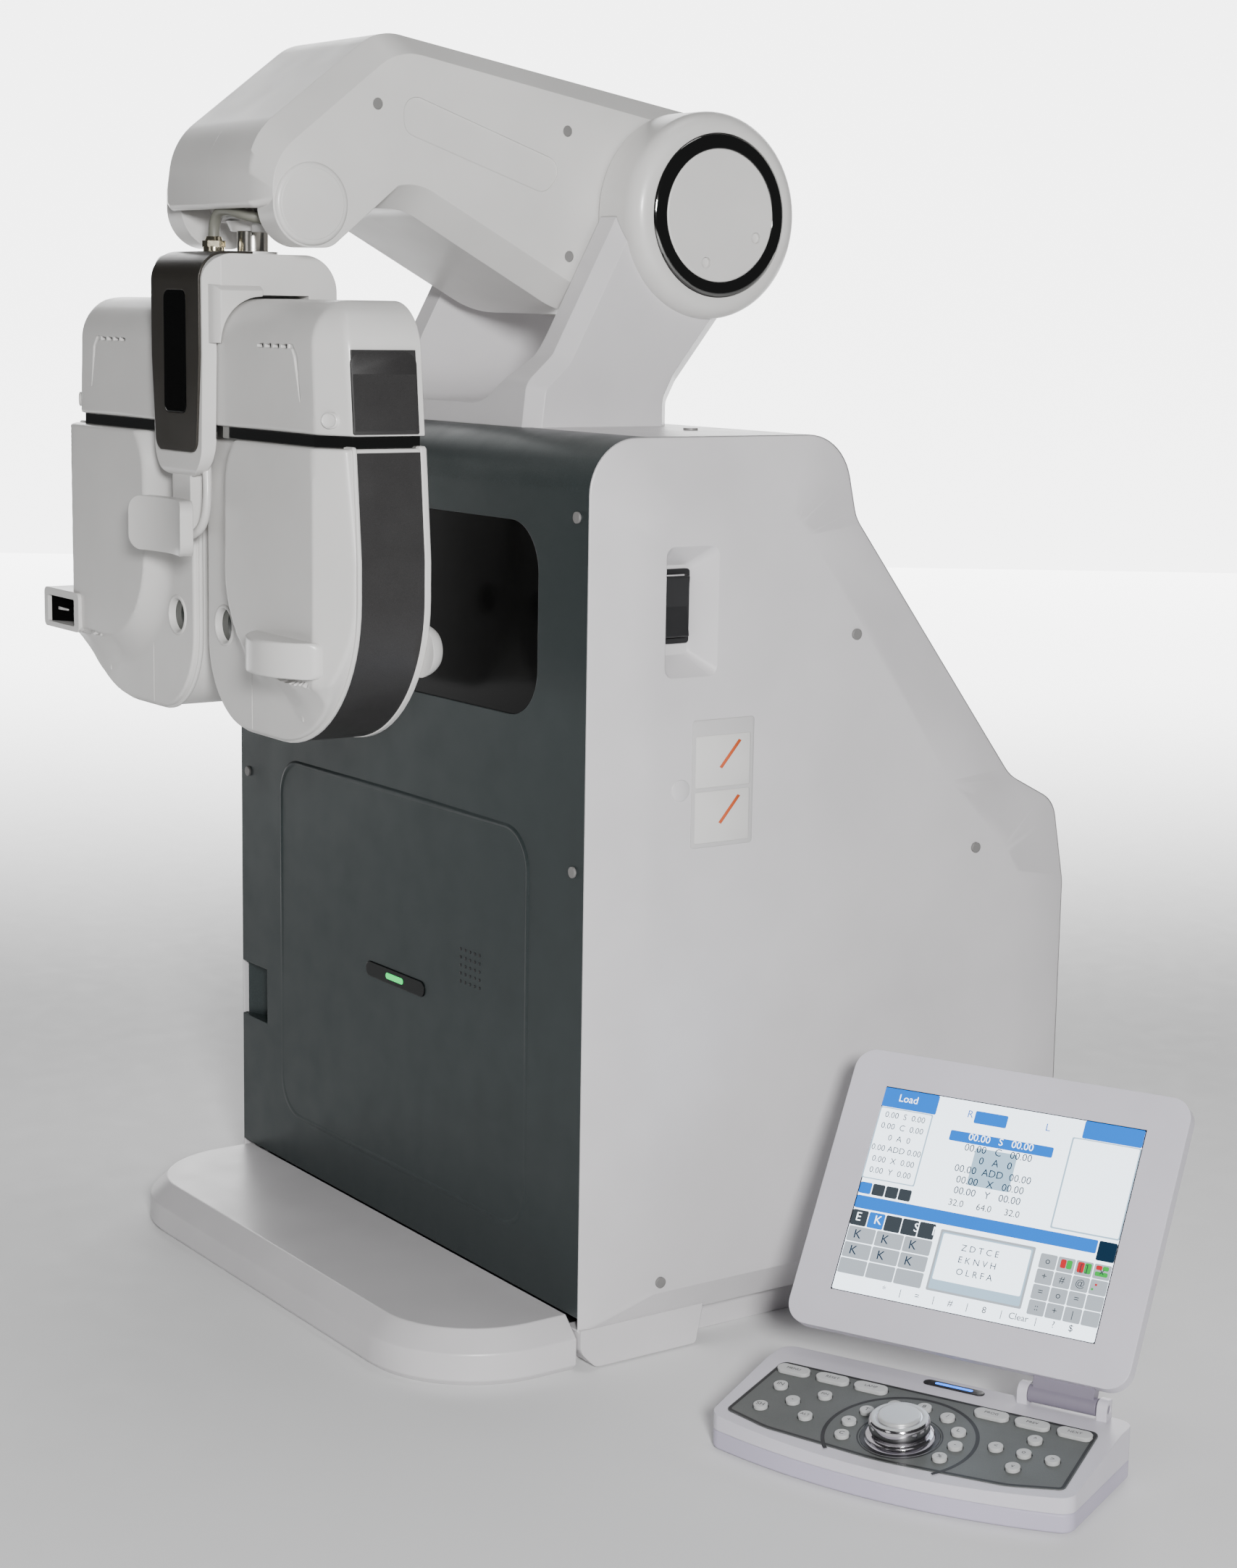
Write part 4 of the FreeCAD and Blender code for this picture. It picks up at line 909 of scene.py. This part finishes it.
def display():
    grid = [(0.735 + 0.066 * i, 0.645 + 0.072 * j) for i in range(4) for j in range(4)]
    tiles("ui_ground", "paper", [(0.004, 0.004, 0.996, 0.996)], -0.50)
    tiles("ui_grid", "grey", [(x, y, x + 0.062, y + 0.068) for x, y in grid]
          + [(0.006 + 0.11 * i, 0.69 + 0.077 * j, 0.112 + 0.11 * i, 0.762 + 0.077 * j)
             for i in range(3) for j in range(3)] + [(0.352, 0.625, 0.712, 0.915)], -0.44)
    tiles("ui_pale", "pale", [(0.0, 0.10, 0.208, 0.455), (0.36, 0.635, 0.704, 0.905),
                              (0.40, 0.22, 0.56, 0.40), (0.742, 0.09, 0.996, 0.525)], -0.42)
    tiles("ui_white", "paper", [(0.004, 0.105, 0.203, 0.45), (0.366, 0.642, 0.698, 0.86),
                                (0.50, 0.05, 0.61, 0.10), (0.748, 0.095, 0.992, 0.518)], -0.39)
    tiles("ui_bars", "blue", [(0.0, 0.004, 0.215, 0.098), (0.29, 0.155, 0.685, 0.205),
                              (0.365, 0.045, 0.49, 0.105), (0.775, 0.004, 0.996, 0.088),
                              (0.004, 0.54, 0.925, 0.602), (0.004, 0.475, 0.05, 0.53),
                              (0.07, 0.61, 0.132, 0.685)], -0.36)
    tiles("ui_dark", "dark", [(x, 0.475, x + 0.048, 0.53) for x in (0.054, 0.106, 0.158)]
          + [(x, 0.61, x + 0.062, 0.685) for x in (0.004, 0.136, 0.202, 0.268)], -0.36)
    tiles("ui_navy", "navy", [(0.93, 0.54, 0.996, 0.63)], -0.34)
    tiles("ui_red", "red", [(0.812, 0.655, 0.832, 0.695), (0.874, 0.652, 0.898, 0.70),
                            (0.94, 0.652, 0.962, 0.672), (0.95, 0.735, 0.958, 0.745)], -0.30)
    tiles("ui_green", "green", [(0.834, 0.655, 0.854, 0.695), (0.90, 0.652, 0.924, 0.70),
                                (0.964, 0.652, 0.986, 0.672), (0.94, 0.757, 0.948, 0.767),
                                (0.94, 0.68, 0.986, 0.70)], -0.30)
    label("ui_title", "Load", 0.06, 0.025, 6.4, "paper")
    for i, row in enumerate(("00.00   S   00.00", "00.00   C   00.00", "0   A   0", "00.00  ADD  00.00",
                             "00.00   X   00.00", "00.00   Y   00.00")):
        label("ui_table_%d" % i, row, 0.487, 0.153 + i * 0.052, 6.2, "navy" if i else "paper", "CENTER")
    label("ui_distance", "32.0     64.0     32.0", 0.487, 0.475, 5.6, "dark", "CENTER")
    label("ui_side_r", "R", 0.335, 0.045, 6.4, "blue")
    label("ui_side_l", "L", 0.635, 0.045, 6.4, "blue")
    for i, row in enumerate(("0.00  S  0.00", "0.00  C  0.00", "0  A  0", "0.00 ADD 0.00", "0.00  X  0.00",
                             "0.00  Y  0.00")):
        label("ui_list_%d" % i, row, 0.104, 0.118 + i * 0.055, 5.2, "navy", "CENTER")
    label("ui_row", "E    K          S    M", 0.02, 0.618, 7.4, "paper")
    for i in range(2):
        label("ui_key_%d" % i, "K      K      K", 0.03, 0.70 + i * 0.077, 7.6, "navy")
    for i, row in enumerate(("Z D T C E", "E K N V H", "O L R F A")):
        label("ui_chart_%d" % i, row, 0.515, 0.675 + i * 0.056, 5.4, "navy", "CENTER")
    for i, mark in enumerate(("o", "+", "=", "::", "#", "o", "+", "[ ]", "@", "=", "|", "x")):
        x, y = grid[i if i < 4 else i + 1]
        label("ui_icon_%d" % i, mark, x + 0.031, y + 0.012, 5.6, "dark", "CENTER")
    for i, mark in enumerate(("*", "|", "=", "|", "#", "|", "8", "|", "Clear", "|", "?", "$")):
        label("ui_tool_%d" % i, mark, 0.20 + 0.064 * i, 0.935, 5.4, "dark", "CENTER")


display()
nodes["screen_panel"].data.materials[0] = materials["black_glass"]

# ---------------------------------------------------------------- studio
def area(name, place, target, size, power, tint=(1, 1, 1)):
    lamp = bpy.data.lights.new(name, "AREA")
    lamp.shape = "DISK"
    lamp.size = size
    lamp.energy = power
    lamp.color = tint
    obj = bpy.data.objects.new(name, lamp)
    bpy.context.scene.collection.objects.link(obj)
    obj.location = place
    obj.rotation_euler = (Vector(target) - Vector(place)).to_track_quat("-Z", "Y").to_euler()


middle = (0.05, 0.1, 0.4)
area("key", (2.35, -1.12, 1.05), middle, 0.4, 84)
area("front_fill", (0.67, -2.22, 1.0), middle, 0.7, 3)
area("top", (0.2, 0.3, 2.8), middle, 1.0, 8)


def stage_plane(name, corners, material):
    mesh = bpy.data.meshes.new(name)
    mesh.from_pydata(corners, [], [(0, 1, 2, 3)])
    obj = bpy.data.objects.new(name, mesh)
    bpy.context.scene.collection.objects.link(obj)
    mesh.materials.append(material)


away = Vector((-0.82, 0.572, 0))
across = Vector((0.572, 0.82, 0)) * 3.4


def floor_material():
    """Matt white that glows more the further it is from the camera, up to the backdrop's white."""
    pale = moulded("floor_white", (0.84, 0.84, 0.84), rough=0.8, mottle=0.004, bump=0.0, edge_highlight=0.0,
                   specular=0.2)
    tree = pale.node_tree
    place = tree.nodes.new("ShaderNodeTexCoord")
    depth = tree.nodes.new("ShaderNodeVectorMath")
    depth.operation = "DOT_PRODUCT"
    depth.inputs[1].default_value = away
    glow = tree.nodes.new("ShaderNodeMapRange")
    glow.interpolation_type = "SMOOTHSTEP"
    glow.inputs["From Min"].default_value = 0.5
    glow.inputs["From Max"].default_value = 3.2
    glow.inputs["To Max"].default_value = 4.6
    link(tree, place, "Object", depth, 0)
    link(tree, depth, "Value", glow, "Value")
    shader = tree.nodes["Principled BSDF"]
    shader.inputs["Emission Color"].default_value = (1, 1, 1, 1)
    link(tree, glow, 0, shader, "Emission Strength")
    return pale


far = away * 5.2
rise = Vector((0, 0, 3.6))
stage_plane("floor", [-away * 3 - across, -away * 3 + across, far + across, far - across], floor_material())
stage_plane("backdrop", [far - across, far + across, far + across + rise, far - across + rise],
            glowing("backdrop_white", (1.0, 1.0, 1.0), 5.0))

world = bpy.data.worlds.new("studio")
world.use_nodes = True
world.node_tree.nodes["Background"].inputs["Color"].default_value = (0.96, 0.98, 1.0, 1.0)
world.node_tree.nodes["Background"].inputs["Strength"].default_value = 0.06
bpy.context.scene.world = world

azimuth, elevation, roll = math.radians(55.07), math.radians(9.75), math.radians(0.95)
back = Vector((math.sin(azimuth) * math.cos(elevation), -math.cos(azimuth) * math.cos(elevation),
               math.sin(elevation)))
right = Vector((math.cos(azimuth), math.sin(azimuth), 0))
up = right.cross(-back)
camera = bpy.data.cameras.new("camera")
camera.sensor_fit = "VERTICAL"
camera.sensor_height = 36
camera.sensor_width = 36
camera.lens = 63.58  # millimetres
view = bpy.data.objects.new("camera", camera)
bpy.context.scene.collection.objects.link(view)
right_rolled = right * math.cos(roll) + up * math.sin(roll)
up_rolled = up * math.cos(roll) - right * math.sin(roll)
view.matrix_world = Matrix.Translation((1.5277, -0.8916, 0.632)) @ Matrix(
    (right_rolled, up_rolled, back)).transposed().to_4x4()
bpy.context.scene.camera = view
